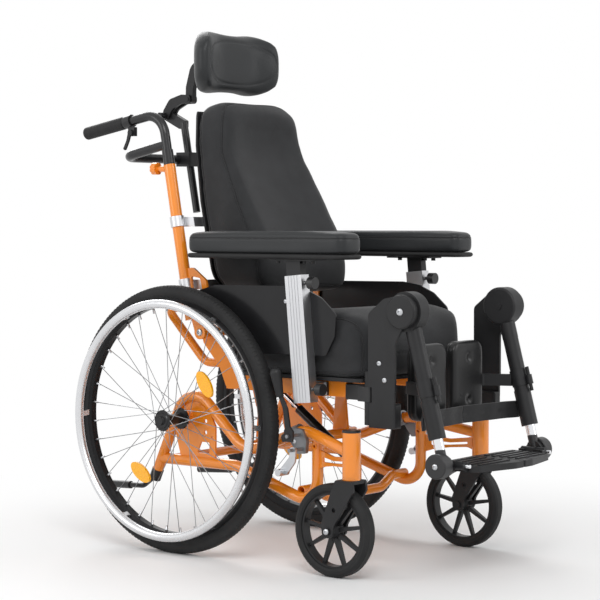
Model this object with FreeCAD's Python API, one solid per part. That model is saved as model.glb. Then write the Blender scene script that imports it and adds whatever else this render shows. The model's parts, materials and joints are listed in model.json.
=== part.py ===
import FreeCAD, Part
import math
import os

# A tilt-in-space wheelchair: a welded orange base on two 24 inch rear wheels and two 8 inch
# casters, a seat unit that tilts on it, a reclining back, height-adjustable push handles and
# headrest, armrests that slide in sockets, and swing-away elevating legrests.
# Millimetres. +X is the occupant's left, the chair faces -Y, +Z is up, the floor is Z = 0.
# The model is drawn with the rear axle at Y = 0 and moved at the end, so that the origin
# lies under the middle of the whole chair.

Vector = FreeCAD.Vector
ORIGIN = Vector(0, 0, 0)
X_AXIS = Vector(1, 0, 0)
Y_AXIS = Vector(0, 1, 0)
Z_AXIS = Vector(0, 0, 1)
SIDES = ("left", "right")

# Clearances
RUNNING = 0.05      # radial gap of a pin that turns in its bore
SEATED = 0.3        # gap between two pieces that lie against each other
WELD_GAP = 0.15     # gap between two welded tubes kept as separate solids

# Rear wheels
WHEEL_R = 305.0
WHEEL_X = 246.0
TYRE_WIDTH = 35.0
TYRE_DEPTH = 34.0
RIM_WIDTH = 26.0
RIM_DEPTH = 17.0
FLANGE_R = 24.0
FLANGE_THICK = 2.8
OUTER_FLANGE = 37.0     # from the wheel's plane to the outer spoke flange
INNER_FLANGE = 24.0     # from the wheel's plane to the inner spoke flange
HUB_R = 14.0
AXLE_R = 6.0
AXLE_CAP_R = 10.0
SPOKES = 36
SPOKE_R = 0.9
SPOKE_PHASE = -15.5     # degrees from the wheel's top to the first spoke's rim hole
SPOKE_LEAD = 60.0       # degrees between a spoke's hub hole and its rim hole
PUSHRIM_R = 264.0
PUSHRIM_TUBE_R = 10.0
PUSHRIM_X = 288.0
PUSHRIM_TABS = 6
REFLECTOR_LENGTH = 66.0
REFLECTOR_WIDTH = 33.0
REFLECTOR_THICK = 6.0
REFLECTOR_PLACE_R = 148.0
REFLECTOR_FOOT = 23.2   # from the wheel's plane to a reflector's inner face
REFLECTOR_ANGLES = (-53.5, 147.5)

# Casters
CASTER_R = 100.0
CASTER_WIDTH = 32.0
CASTER_TYRE_DEPTH = 19.0
CASTER_SPOKES = 9
CASTER_X = 243.0
CASTER_Y = -508.0
CASTER_TRAIL = 45.0
CASTER_AXLE_R = 5.0
STEM_R = 8.0
STEM_HOUSING_R = 19.5
STEM_BOTTOM = 211.0
STEM_TOP = 311.0
FORK_CHEEK = 7.0        # thickness of a fork's leg
FORK_GAP = 3.0          # gap between the caster wheel and a fork's leg

# Base frame
BASE_X = 192.0
TUBE_R = 12.5
TUBE_WALL = 2.0
PLATE = 5.0
HOOP = ((101, 178), (1, 393), (-171, 237), (-340, 301))
HOOP_BENDS = (58, 72, 88)
LOWER_TUBE_REAR = (86, 205)
LOWER_TUBE_BREAK = (-142, 206)
FRONT_POST_Y = -376.0
FRONT_POST_FOOT = 135.0     # where the lower tube's line meets the front post's line
FRONT_POST_TOP = 292.0
LOWER_BENDS = (60, 45)
ACCESSORY_HOLE_R = 3.25
ACCESSORY_HOLE_Z = 268.0
REAR_CROSS_Y = 62.0
MIDDLE_CROSS_Z = 252.0
FRONT_CROSS_Y = -330.0
FRONT_CROSS_R = 11.0

# Seat unit
TILT_Y = -180.0
TILT_Z = 345.0
TILT_PIN_R = 6.0
RAIL_X = 158.0
RAIL_WIDTH = 25.0
RAIL_BOTTOM = 375.0
RAIL_HEIGHT = 36.0
RAIL_REAR = -95.0
RAIL_FRONT = -437.0
RAIL_PLUG = 3.0
BOW_R = 10.0
PAN_THICK = 8.0
PAN_REAR = -78.0
PAN_FRONT = -500.0
PAN_HALF = 197.0
CUSHION_HALF = 199.0
CUSHION_FRONT = -522.0
CUSHION_REAR = -92.0
CUSHION_TOP = 560.0
PANEL_THICK = 4.0

# Back
RECLINE_Y = -45.0
RECLINE_Z = 503.0
TORQUE_TUBE_R = 11.0
CANE_X = 200.0
CANE_R = 13.5
CANE_BORE = 11.1
CANE_FOOT = (-12.0, 530.0)
CANE_TOP = (55.0, 885.0)
SHELL_THICK = 5.0
BACK_HALF = 166.0
BACK_TOP = 1040.0

# Push handles and headrest
HANDLE_R = 11.0
HANDLE_BEND = 52.0
HANDLE_PEAK_Z = 1006.0
GRIP_END = (325.0, 964.0)
GRIP_LENGTH = 130.0
GRIP_R = 15.0
BAR_FRONT_Z = 932.0
BAR_REAR = (201.0, 905.0)
BAR_BEND = 34.0
POST_TOP = (195.0, 995.0)
POST_FOOT = (153.0, 777.0)
POST_R = 9.0
LOWER_PIVOT = (247.0, 1012.0)
UPPER_PIVOT = (172.0, 1050.0)
PAD_PIVOT = (98.0, 1128.0)
HEAD_PIN_R = 5.0
LEVER_PIN_R = 3.0
HEAD_PAD_HALF = 140.0
HEAD_PAD_BOTTOM = 1056.0
HEAD_PAD_TOP = 1200.0

# Armrests
SOCKET_X = 223.0
SOCKET_WIDTH = 26.0
SOCKET_DEPTH = 46.0
SOCKET_WALL = 3.0
SOCKET_TOP = (-342.0, 638.0)
SOCKET_FOOT = (-368.0, 364.0)
POST_CLEARANCE = 0.3
ARM_PAD_INNER = 172.0
ARM_PAD_OUTER = 250.0
ARM_PAD_FRONT = -490.0
ARM_PAD_REAR = -40.0
ARM_PAD_BOTTOM = 673.0
ARM_PAD_TOP = 729.0
ARM_BASE_THICK = 11.0

# Legrests
SWING_X = 186.0
SWING_Y = -515.0
SWING_PIN_R = 8.0
SWING_SLEEVE_R = 13.0
SWING_LUG = (372.0, 404.0)
HANGER_FOOT = 323.0
HANGER_HEAD = 437.0
HANGER_X = 199.0
KNEE_Y = -610.0
KNEE_Z = 566.0
KNEE_R = 42.0
KNEE_PIN_R = 8.0
LEG_X = 178.0
LEG_TOP = (-618.0, 540.0)
FOOT_JOINT = (-697.0, 250.0)
SLEEVE_R = 17.0
SLEEVE_END = 0.815      # share of the way from the leg's top to the foot joint
FOOT_TUBE_R = 11.0
FOOT_DISC_R = 26.0
FOOT_DISC_WIDTH = 28.0
FLIP_X = 156.0
FLIP_Z = 250.0
FLIP_PIN_R = 4.0
FOOTPLATE_THICK = 14.0
FOOTPLATE_REAR = -652.0
FOOTPLATE_FRONT = -782.0
FOOTPLATE_INNER = 1.5
CALF_X = 70.0
CALF_Y = -579.0
CALF_Z = 410.0
CALF_WIDTH = 116.0
CALF_HEIGHT = 165.0
CALF_THICK = 26.0
CALF_PIN_R = 4.0

# Gas springs
SPRING_R = 11.0
SPRING_ROD_R = 5.0
SPRING_PIN_R = 4.0
TILT_EYE_SLACK = 1.0        # play of the rod's eye on its pin
RECLINE_EYE_SLACK = 3.0
RECLINE_SPRING_X = 46.0     # the recline spring lies beside the tilt spring, which is central
TILT_SPRING_BASE = (-330.0, 204.0)
TILT_SPRING_SEAT = (-66.0, 392.0)
RECLINE_SPRING_SEAT = (-318.0, 385.0)
RECLINE_SPRING_BACK = (-28.0, 395.0)

# Brakes
BRAKE_X = 252.0
BRAKE_PIVOT = (-345.0, 292.0)
BRAKE_GRIP = (-312.0, 412.0)
SHOE_PIVOT = (-352.0, 262.0)
SHOE_TIP = (-321.0, 212.0)
SHOE_R = 8.0
BRAKE_PIN_R = 4.0

# Travels, in degrees or millimetres from the pose that is drawn
BRAKE_TRAVEL = 50.0
SHOE_TRAVEL = 20.0
TILT_TRAVEL = 20.0
RECLINE_TRAVEL = 30.0
HANDLE_TRAVEL = 120.0
POST_TRAVEL = 80.0
ARMREST_TRAVEL = 100.0
FOOT_OUT = 60.0
FOOT_IN = 15.0


def point(x, yz):
    return Vector(x, yz[0], yz[1])


def fuse(shapes):
    whole = shapes[0]
    for shape in shapes[1:]:
        whole = whole.fuse(shape)
    return whole.removeSplitter()


def cut(shape, tools):
    for tool in tools:
        shape = shape.cut(tool)
    return shape


def on_side(shape, side):
    if side == "left":
        return shape
    return shape.mirror(ORIGIN, X_AXIS)


def both_sides(shape):
    return [on_side(shape, side) for side in SIDES]


def rod(start, end, radius):
    along = end - start
    return Part.makeCylinder(radius, along.Length, start, along)


def cone(start, end, radius_start, radius_end):
    along = end - start
    return Part.makeCone(radius_start, radius_end, along.Length, start, along)


def x_rod(x0, x1, yz, radius):
    return Part.makeCylinder(radius, abs(x1 - x0), point(min(x0, x1), yz), X_AXIS)


def box(low, high):
    size = Vector(*high) - Vector(*low)
    return Part.makeBox(size.x, size.y, size.z, Vector(*low))


def rounded_wire(corners, radii, closed):
    """Straight edges between the corners, with a tangent arc at each corner that has a radius."""
    count = len(corners)
    starts = []
    ends = []
    arcs = []
    for i in range(count):
        here = corners[i]
        radius = radii[i]
        inner = closed or 0 < i < count - 1
        if not inner or radius <= 0:
            starts.append(here)
            ends.append(here)
            arcs.append(None)
            continue
        back = (corners[i - 1] - here).normalize()
        ahead = (corners[(i + 1) % count] - here).normalize()
        half = back.getAngle(ahead) / 2
        reach = radius / math.tan(half)
        middle = (back + ahead).normalize()
        top = here + middle * (radius / math.sin(half) - radius)
        starts.append(here + back * reach)
        ends.append(here + ahead * reach)
        arcs.append(Part.Arc(starts[-1], top, ends[-1]).toShape())
    edges = []
    for i in range(count):
        if arcs[i]:
            edges.append(arcs[i])
        if i == count - 1 and not closed:
            break
        nxt = (i + 1) % count
        if (starts[nxt] - ends[i]).Length > 1e-6:
            edges.append(Part.makeLine(ends[i], starts[nxt]))
    return Part.Wire(edges)


def bend(corner, before, after, radius, tube_radius):
    """The turned piece of a tube at a corner, and how far it reaches along each straight run."""
    back = (before - corner).normalize()
    ahead = (after - corner).normalize()
    turn = math.pi - back.getAngle(ahead)
    reach = radius * math.tan(turn / 2)
    start = corner + back * reach
    hub = corner + (back + ahead).normalize() * (radius / math.cos(turn / 2))
    axis = (hub - start).normalize().cross(back)
    face = Part.Face(Part.Wire(Part.makeCircle(tube_radius, start, back)))
    return face.revolve(hub, axis, math.degrees(turn)), reach


def swept_tube(corners, bends, radius, bore=0.0):
    """A round tube along straight runs joined by tangent bends."""
    body = solid_tube(corners, bends, radius)
    if bore:
        body = body.cut(solid_tube(corners, bends, bore))
    return body


def solid_tube(corners, bends, radius):
    pieces = []
    start = corners[0]
    for i, bend_radius in enumerate(bends):
        corner = corners[i + 1]
        piece, reach = bend(corner, corners[i], corners[i + 2], bend_radius, radius)
        end = corner + (corners[i] - corner).normalize() * reach
        pieces.append(rod(start, end, radius))
        pieces.append(piece)
        start = corner + (corners[i + 2] - corner).normalize() * reach
    pieces.append(rod(start, corners[-1], radius))
    return pieces[0].multiFuse(pieces[1:])


def side_plate(outline, x0, x1, radius=0.0, radii=None):
    """A flat plate that lies in a side plane: its outline is (y, z) points."""
    corners = [point(x0, yz) for yz in outline]
    wire = rounded_wire(corners, radii or [radius] * len(corners), True)
    return Part.Face(wire).extrude(Vector(x1 - x0, 0, 0))


def front_plate(outline, y0, y1, radius=0.0, radii=None):
    """A solid whose front outline is (x, z) points, from y0 to y1."""
    corners = [Vector(x, y0, z) for x, z in outline]
    wire = rounded_wire(corners, radii or [radius] * len(corners), True)
    return Part.Face(wire).extrude(Vector(0, y1 - y0, 0))


def flat_plate(outline, z0, z1, radius=0.0, radii=None):
    """A solid whose plan outline is (x, y) points, from z0 to z1."""
    corners = [Vector(x, y, z0) for x, y in outline]
    wire = rounded_wire(corners, radii or [radius] * len(corners), True)
    return Part.Face(wire).extrude(Vector(0, 0, z1 - z0))


def turned(profile, centre):
    """A body turned about the X direction through the centre: its profile is (x, radius) points."""
    points = [centre + Vector(x, 0, r) for x, r in profile]
    face = Part.Face(Part.makePolygon(points + points[:1]))
    return face.revolve(centre, X_AXIS, 360)


def between(start, end, share):
    return (start[0] + (end[0] - start[0]) * share, start[1] + (end[1] - start[1]) * share)


def heading_of(start, end):
    """The unit vector in the side plane from one (y, z) point to another."""
    return Vector(0, end[0] - start[0], end[1] - start[1]).normalize()


def wheel_centre():
    return Vector(WHEEL_X, 0, WHEEL_R)


def rear_tyre():
    half = TYRE_WIDTH / 2
    bead = RIM_WIDTH / 2 - 2.2
    inner = WHEEL_R - TYRE_DEPTH
    lip = inner + 5.5
    c = wheel_centre()

    def at(x, r):
        return c + Vector(x, 0, r)

    edges = [
        Part.makeLine(at(-bead, inner), at(-bead, lip)),
        Part.makeLine(at(-bead, lip), at(-bead - 2.5, lip)),
        Part.Arc(at(-bead - 2.5, lip), at(-half, inner + 17), at(-half + 5, WHEEL_R - 4)).toShape(),
        Part.Arc(at(-half + 5, WHEEL_R - 4), at(0, WHEEL_R), at(half - 5, WHEEL_R - 4)).toShape(),
        Part.Arc(at(half - 5, WHEEL_R - 4), at(half, inner + 17), at(bead + 2.5, lip)).toShape(),
        Part.makeLine(at(bead + 2.5, lip), at(bead, lip)),
        Part.makeLine(at(bead, lip), at(bead, inner)),
        Part.makeLine(at(bead, inner), at(-bead, inner)),
    ]
    return Part.Face(Part.Wire(edges)).revolve(c, X_AXIS, 360)


def rim_bed():
    return WHEEL_R - TYRE_DEPTH - SEATED / 2


def rear_rim():
    half = RIM_WIDTH / 2
    bed = rim_bed()
    profile = (
        (-half, bed + 5), (-half + 2, bed + 5), (-half + 2, bed), (half - 2, bed), (half - 2, bed + 5),
        (half, bed + 5), (half, bed - 5), (half - 5, bed - RIM_DEPTH + 5),
        (-half + 5, bed - RIM_DEPTH + 5), (-half, bed - 5),
    )
    return turned(profile, wheel_centre())


def spoke(hub_angle, rim_angle, hub_x, rim_x):
    """A thin six-sided wire from a flange to the rim's inner face."""
    c = wheel_centre()
    inner = rim_bed() - RIM_DEPTH + 5 - SEATED

    def at(x, r, angle):
        a = math.radians(angle)
        return c + Vector(x, r * math.sin(a), r * math.cos(a))

    start = at(hub_x, FLANGE_R - 2.5, hub_angle)
    end = at(rim_x, inner + 0.1, rim_angle)
    along = (end - start).normalize()
    side = along.cross(X_AXIS).normalize()
    other = along.cross(side)
    corners = []
    for i in range(6):
        a = math.radians(60 * i)
        corners.append(start + side * (SPOKE_R * math.cos(a)) + other * (SPOKE_R * math.sin(a)))
    face = Part.Face(Part.makePolygon(corners + corners[:1]))
    return face.extrude(end - start)


def rear_spokes():
    """Half the spokes on each flange: every other one leads, the rest trail and cross them."""
    spokes = []
    step = 360.0 / SPOKES
    for i in range(SPOKES):
        outer = i % 2 == 0
        leads = (i // 2) % 2 == 0
        face_gap = FLANGE_THICK / 2 + SPOKE_R + 0.1
        flange_x = OUTER_FLANGE if outer else -INNER_FLANGE
        hub_x = flange_x + (face_gap if leads else -face_gap)
        rim_x = 4.0 if outer else -4.0
        rim_angle = SPOKE_PHASE + i * step
        hub_angle = rim_angle + (SPOKE_LEAD if leads else -SPOKE_LEAD)
        spokes.append(spoke(hub_angle, rim_angle, hub_x, rim_x))
    return spokes


def rear_hub():
    """Hub shell with its two spoke flanges, and the quick-release axle that runs through it."""
    bore = AXLE_R + 0.1
    t = FLANGE_THICK / 2
    outer = OUTER_FLANGE
    inner = -INNER_FLANGE
    end = hub_inner_face() - WHEEL_X
    profile = (
        (end, bore), (end, HUB_R - 2), (inner - t - 2, HUB_R), (inner - t, FLANGE_R - 1),
        (inner - t + 0.6, FLANGE_R), (inner + t, FLANGE_R), (inner + t, HUB_R), (inner + t + 6, HUB_R - 2),
        (outer - t - 6, HUB_R - 2), (outer - t, HUB_R), (outer - t, FLANGE_R), (outer + t - 0.6, FLANGE_R),
        (outer + t, FLANGE_R - 1), (outer + t, HUB_R + 4), (outer + t + 2.5, HUB_R + 2),
        (outer + t + 2.5, bore),
    )
    shell = turned(profile, wheel_centre())
    cap_x = WHEEL_X + outer + t + 2.5 + SEATED
    axle = x_rod(axle_boss_inner() - 2, cap_x + 1, (0, WHEEL_R), AXLE_R)
    cap = cone(Vector(cap_x, 0, WHEEL_R), Vector(cap_x + 5, 0, WHEEL_R), AXLE_CAP_R, AXLE_CAP_R - 2.5)
    return [shell, axle.fuse(cap)]


def axle_boss_inner():
    return BASE_X - 10


def axle_boss_outer():
    return BASE_X + TUBE_R + 9


def hub_inner_face():
    return axle_boss_outer() + 0.4


def pushrim():
    """Hand rim: a round tube ring with tabs that reach in to the rim's side."""
    c = Vector(PUSHRIM_X, 0, WHEEL_R)
    pieces = [Part.makeTorus(PUSHRIM_R, PUSHRIM_TUBE_R, c, X_AXIS)]
    tab_foot = WHEEL_X + RIM_WIDTH / 2 + SEATED
    foot_r = rim_bed() - 3
    for i in range(PUSHRIM_TABS):
        a = math.radians(360.0 * i / PUSHRIM_TABS + 30)
        out = Vector(0, math.sin(a), math.cos(a))
        along = Vector(0, math.cos(a), -math.sin(a))
        foot = Vector(tab_foot, 0, WHEEL_R) + out * foot_r
        head = c + out * PUSHRIM_R
        corners = [
            foot - out * 7 - along * 7, foot + out * 3 - along * 7,
            head + out * 2 - along * 4, head - out * 4 - along * 4,
        ]
        corners[2].x = PUSHRIM_X - 5
        corners[3].x = PUSHRIM_X - 5
        face = Part.Face(Part.makePolygon(corners + corners[:1]))
        pieces.append(face.extrude(along * 12))
    return fuse(pieces)


def reflectors():
    """Two oval reflectors that lie against the spokes on opposite sides of the hub."""
    lenses = []
    c = wheel_centre()
    for angle in REFLECTOR_ANGLES:
        a = math.radians(angle)
        out = Vector(0, math.sin(a), math.cos(a))
        across = Vector(0, math.cos(a), -math.sin(a))
        centre = c + out * REFLECTOR_PLACE_R + Vector(REFLECTOR_FOOT, 0, 0)
        long_end = centre + across * (REFLECTOR_LENGTH / 2)
        short_end = centre + out * (REFLECTOR_WIDTH / 2)
        curve = Part.Ellipse(long_end, short_end, centre)
        oval = Part.Wire(curve.toShape())
        lenses.append(Part.Face(oval).extrude(Vector(REFLECTOR_THICK, 0, 0)))
    return lenses


def caster_axle():
    return (CASTER_Y + CASTER_TRAIL, CASTER_R)


def caster_tyre():
    y, z = caster_axle()
    half = CASTER_WIDTH / 2
    inner = CASTER_R - CASTER_TYRE_DEPTH
    profile = (
        (-half + 3, inner), (-half, inner + 5), (-half, CASTER_R - 8), (-half + 3, CASTER_R - 2.5),
        (-half + 8, CASTER_R), (half - 8, CASTER_R), (half - 3, CASTER_R - 2.5), (half, CASTER_R - 8),
        (half, inner + 5), (half - 3, inner),
    )
    return turned(profile, Vector(CASTER_X, y, z))


def caster_wheel():
    """Moulded rim, hub and tapered spokes in one piece."""
    y, z = caster_axle()
    c = Vector(CASTER_X, y, z)
    rim_r = CASTER_R - CASTER_TYRE_DEPTH - SEATED / 2
    hub_half = CASTER_WIDTH / 2 + FORK_GAP - SEATED
    rim = turned(((-11, rim_r), (11, rim_r), (11, rim_r - 5), (-11, rim_r - 5)), c)
    hub = turned(
        ((-hub_half, 13), (-9, 18), (9, 18), (hub_half, 13), (hub_half, CASTER_AXLE_R + RUNNING),
         (-hub_half, CASTER_AXLE_R + RUNNING)), c)
    pieces = [rim, hub]
    for i in range(CASTER_SPOKES):
        a = 360.0 * i / CASTER_SPOKES
        root = [Vector(-6, -5, 15), Vector(6, -5, 15), Vector(6, 5, 15), Vector(-6, 5, 15)]
        end = rim_r - 3
        tip = [Vector(-4, -3.5, end), Vector(4, -3.5, end), Vector(4, 3.5, end), Vector(-4, 3.5, end)]
        arm = Part.makeLoft([Part.makePolygon(root + root[:1]), Part.makePolygon(tip + tip[:1])], True, True)
        arm.rotate(ORIGIN, X_AXIS, a)
        arm.translate(c)
        pieces.append(arm)
    return fuse(pieces)


def caster_fork():
    """One-piece fork: crown, two legs that sweep back to the axle, stem and axle bolt."""
    ay, az = caster_axle()
    gap = CASTER_WIDTH / 2 + FORK_GAP
    cheek = gap + FORK_CHEEK
    crown_top = STEM_BOTTOM - SEATED
    crown_foot = CASTER_R * 2 + 3.5
    side = (
        (CASTER_Y - 20, crown_top), (CASTER_Y + 24, crown_top), (CASTER_Y + 34, crown_top - 22),
        (ay + 17, az + 14), (ay + 13, az - 14), (ay - 13, az - 14), (ay - 17, az + 12),
        (CASTER_Y - 24, crown_foot - 14),
    )
    leg = side_plate(side, CASTER_X + gap, CASTER_X + cheek, radii=(4, 6, 14, 12, 12, 12, 14, 12))
    spare_at = between(caster_axle(), (CASTER_Y + 4, STEM_BOTTOM), 0.42)
    spare = x_rod(CASTER_X + gap - 1, CASTER_X + cheek + 1, spare_at, 5)
    leg = leg.cut(spare)
    other = leg.mirror(Vector(CASTER_X, 0, 0), X_AXIS)
    crown = flat_plate(
        ((CASTER_X - cheek, CASTER_Y - 20), (CASTER_X + cheek, CASTER_Y - 20),
         (CASTER_X + cheek, CASTER_Y + 24), (CASTER_X - cheek, CASTER_Y + 24)),
        crown_foot, crown_top, radius=4)
    collar = Part.makeCylinder(STEM_HOUSING_R - 2, 3, Vector(CASTER_X, CASTER_Y, crown_top - 3))
    stem = Part.makeCylinder(STEM_R, STEM_TOP - crown_top - 12, Vector(CASTER_X, CASTER_Y, crown_top))
    body = fuse([crown, leg, other, collar, stem])
    bolt = x_rod(CASTER_X - cheek - 3, CASTER_X + cheek + 3, caster_axle(), CASTER_AXLE_R)
    head = x_rod(CASTER_X + cheek, CASTER_X + cheek + 4, caster_axle(), CASTER_AXLE_R + 3)
    nut = x_rod(CASTER_X - cheek - 4, CASTER_X - cheek, caster_axle(), CASTER_AXLE_R + 3)
    return fuse([body, bolt, head, nut])


def hoop_corners():
    corners = [point(BASE_X, yz) for yz in HOOP]
    corners.append(Vector(CASTER_X - 2, CASTER_Y + 8, STEM_TOP - 43))
    return corners


def lower_tube_corners():
    return [
        point(BASE_X, LOWER_TUBE_REAR), point(BASE_X, LOWER_TUBE_BREAK),
        Vector(BASE_X, FRONT_POST_Y, FRONT_POST_FOOT), Vector(BASE_X, FRONT_POST_Y, FRONT_POST_TOP),
    ]


def axle_plate():
    """Welded plate in the hoop, with adjuster holes and a window."""
    outline = ((-80, 212), (-80, 290), (-62, 322), (-20, 348), (22, 338), (48, 285), (26, 212))
    plate = side_plate(outline, BASE_X - PLATE / 2, BASE_X + PLATE / 2, radius=6)
    window = side_plate(((-62, 226), (-62, 252), (-36, 252), (-24, 226)), BASE_X - 6, BASE_X + 6, radius=3)
    holes = [window]
    for y, z, r in ((-50, 300, 5), (-50, 274, 5), (-70, 264, 2.6), (-30, 296, 2.6)):
        holes.append(x_rod(BASE_X - 6, BASE_X + 6, (y, z), r))
    return cut(plate, holes)


def stem_link():
    """Slotted plate that braces the caster's stem housing to the front post."""
    length = math.hypot(CASTER_X - BASE_X, CASTER_Y - FRONT_POST_Y)
    far = length - 30
    outline = (
        (0, 216), (0, 262), (30, 258), (length / 2, 252), (far, 256),
        (length, 262), (length, 220), (far, 234), (length / 2, 232), (30, 226),
    )
    slot = ((26, 236), (26, 247), (length / 2, 243), (far, 246), (far, 241), (length / 2, 238))
    solid = side_plate(outline, -PLATE / 2, PLATE / 2, radii=(0, 0, 20, 40, 20, 0, 0, 20, 40, 20))
    solid = solid.cut(side_plate(slot, -PLATE, PLATE, radius=2))
    solid.rotate(ORIGIN, Z_AXIS, math.degrees(math.atan2(CASTER_Y - FRONT_POST_Y, CASTER_X - BASE_X)) - 90)
    solid.translate(Vector(BASE_X, FRONT_POST_Y, 0))
    return solid


def side_frame():
    """Welded side: arched hoop tube, lower tube with the front post, axle plate, caster housing."""
    runs = ((hoop_corners(), HOOP_BENDS), (lower_tube_corners(), LOWER_BENDS))
    outside = [solid_tube(corners, bends, TUBE_R) for corners, bends in runs]
    hollows = [solid_tube(corners, bends, TUBE_R - TUBE_WALL) for corners, bends in runs]
    stem_foot = Vector(CASTER_X, CASTER_Y, STEM_BOTTOM)
    housing = Part.makeCylinder(STEM_HOUSING_R, STEM_TOP - STEM_BOTTOM, stem_foot)
    post_hole = (FRONT_POST_Y, ACCESSORY_HOLE_Z)
    boss = x_rod(BASE_X - TUBE_R, BASE_X + TUBE_R, post_hole, ACCESSORY_HOLE_R + 4)
    axle_boss = x_rod(axle_boss_inner(), axle_boss_outer(), (0, WHEEL_R), AXLE_R + 7)
    body = cut(fuse(outside + [stem_link(), axle_plate()]), hollows)
    body = fuse([body, boss, housing, axle_boss])
    bore = Part.makeCylinder(STEM_R + RUNNING, STEM_TOP - STEM_BOTTOM - 8, stem_foot)
    hole = x_rod(BASE_X - TUBE_R - 1, BASE_X + TUBE_R + 1, post_hole, ACCESSORY_HOLE_R)
    axle_hole = x_rod(axle_boss_inner() - 1, axle_boss_outer() + 1, (0, WHEEL_R), AXLE_R + RUNNING)
    return cut(body, [bore, hole, axle_hole])


def frame_keepout():
    """The side frames' tubes a little enlarged, to end the cross tubes just short of them."""
    hoop = swept_tube(hoop_corners(), HOOP_BENDS, TUBE_R + WELD_GAP)
    lower = swept_tube(lower_tube_corners(), LOWER_BENDS, TUBE_R + WELD_GAP)
    return both_sides(fuse([hoop, lower]))


def base_cross_members():
    """Rear, middle and dipped front cross tubes, with the tilt pivot's towers and spring lugs."""
    keepout = frame_keepout()
    rear = x_rod(-BASE_X, BASE_X, (REAR_CROSS_Y, LOWER_TUBE_REAR[1]), TUBE_R - 2)
    rear = rear.cut(x_rod(-BASE_X, BASE_X, (REAR_CROSS_Y, LOWER_TUBE_REAR[1]), TUBE_R - 4))
    middle = x_rod(-BASE_X, BASE_X, (TILT_Y, MIDDLE_CROSS_Z), TUBE_R)
    middle = middle.cut(x_rod(-BASE_X, BASE_X, (TILT_Y, MIDDLE_CROSS_Z), TUBE_R - TUBE_WALL))
    dip = 24
    level = 166
    low = [
        Vector(-BASE_X, FRONT_CROSS_Y, level), Vector(-BASE_X + 50, FRONT_CROSS_Y, level),
        Vector(-BASE_X + 92, FRONT_CROSS_Y, level - dip), Vector(BASE_X - 92, FRONT_CROSS_Y, level - dip),
        Vector(BASE_X - 50, FRONT_CROSS_Y, level), Vector(BASE_X, FRONT_CROSS_Y, level),
    ]
    front = swept_tube(low, (40, 40, 40, 40), FRONT_CROSS_R, FRONT_CROSS_R - TUBE_WALL)
    tower_outline = (
        (TILT_Y - 24, MIDDLE_CROSS_Z - 4), (TILT_Y + 24, MIDDLE_CROSS_Z - 4),
        (TILT_Y + 13, TILT_Z + 13), (TILT_Y - 13, TILT_Z + 13),
    )
    ear_inner = RAIL_X - RAIL_WIDTH / 2
    tower_outer = ear_inner - 2
    tower = side_plate(tower_outline, tower_outer - 6, tower_outer, radii=(0, 0, 12, 12))
    pin = x_rod(tower_outer - 6, ear_inner + 8, (TILT_Y, TILT_Z), TILT_PIN_R)
    washer = x_rod(tower_outer, ear_inner - SEATED, (TILT_Y, TILT_Z), TILT_PIN_R + 4)
    bore = x_rod(-BASE_X, BASE_X, (TILT_Y, MIDDLE_CROSS_Z), TUBE_R - TUBE_WALL)
    middle = fuse([middle] + [t.cut(bore) for t in both_sides(tower)] + both_sides(pin) + both_sides(washer))
    lug_outline = (
        (FRONT_CROSS_Y - 9, level - dip), (FRONT_CROSS_Y + 9, level - dip),
        (FRONT_CROSS_Y + 9, TILT_SPRING_BASE[1] + 8), (FRONT_CROSS_Y - 9, TILT_SPRING_BASE[1] + 8),
    )
    lug = side_plate(lug_outline, 9, 13, radii=(0, 0, 7, 7))
    core = x_rod(-30, 30, (FRONT_CROSS_Y, level - dip), FRONT_CROSS_R - TUBE_WALL)
    spring_pin = x_rod(-14, 14, TILT_SPRING_BASE, SPRING_PIN_R)
    front = fuse([front] + [l.cut(core) for l in both_sides(lug)] + [spring_pin])
    return [cut(tube, keepout) for tube in (rear, middle, front)]


def tipping_levers():
    """Black end plugs of the hoop tubes, each with a foot lever that runs out behind."""
    pieces = []
    end = point(BASE_X, HOOP[0])
    along = heading_of(HOOP[1], HOOP[0])
    plug = rod(end + along * WELD_GAP, end + along * 26, TUBE_R + 1.5)
    start = end + along * 17
    lever = [
        start, Vector(BASE_X - 8, start.y + 48, 133), Vector(BASE_X - 22, 300, 124),
    ]
    bar = swept_tube(lever, (30,), 6)
    toward = (lever[2] - lever[1]).normalize()
    sleeve = rod(lever[2] - toward * 98, lever[2] + toward * 3, 9)
    pieces.append(fuse([plug, bar, sleeve]))
    cap_foot = STEM_TOP + WELD_GAP
    cap = Part.makeCylinder(STEM_HOUSING_R + 0.5, 5, Vector(CASTER_X, CASTER_Y, cap_foot))
    pieces.append(cap.makeFillet(2.5, [cap.Edges[0]]))
    return [on_side(piece, side) for piece in pieces for side in SIDES]


def hoop_point(y):
    """A point on the hoop tube's straight rise between its last two bends."""
    share = (y - HOOP[2][0]) / (HOOP[3][0] - HOOP[2][0])
    return between(HOOP[2], HOOP[3], share)


def brake_mount():
    """Clamp round the hoop tube with the two brake pivots on its outer side."""
    low = hoop_point(-330)
    high = hoop_point(-268)
    start = point(BASE_X, low)
    along = (point(BASE_X, high) - start).normalize()
    ring = rod(start, start + along * 34, TUBE_R + 4)
    tube_room = rod(start - along * 60, start + along * 90, TUBE_R + WELD_GAP)
    outline = (
        (-362, 252), (-338, 250), (-318, 276), (-296, 272),
        (-292, 286), (-322, 306), (-352, 304), (-364, 280),
    )
    outer = BASE_X + TUBE_R + 4
    plate = side_plate(outline, outer - 1.5, outer + 8, radius=5)
    pins = [x_rod(outer + 4, BRAKE_X + 9, yz, BRAKE_PIN_R) for yz in (BRAKE_PIVOT, SHOE_PIVOT)]
    hoop_room = solid_tube(hoop_corners(), HOOP_BENDS, TUBE_R + WELD_GAP)
    return cut(fuse([ring, plate] + pins), [tube_room, hoop_room])


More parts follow.
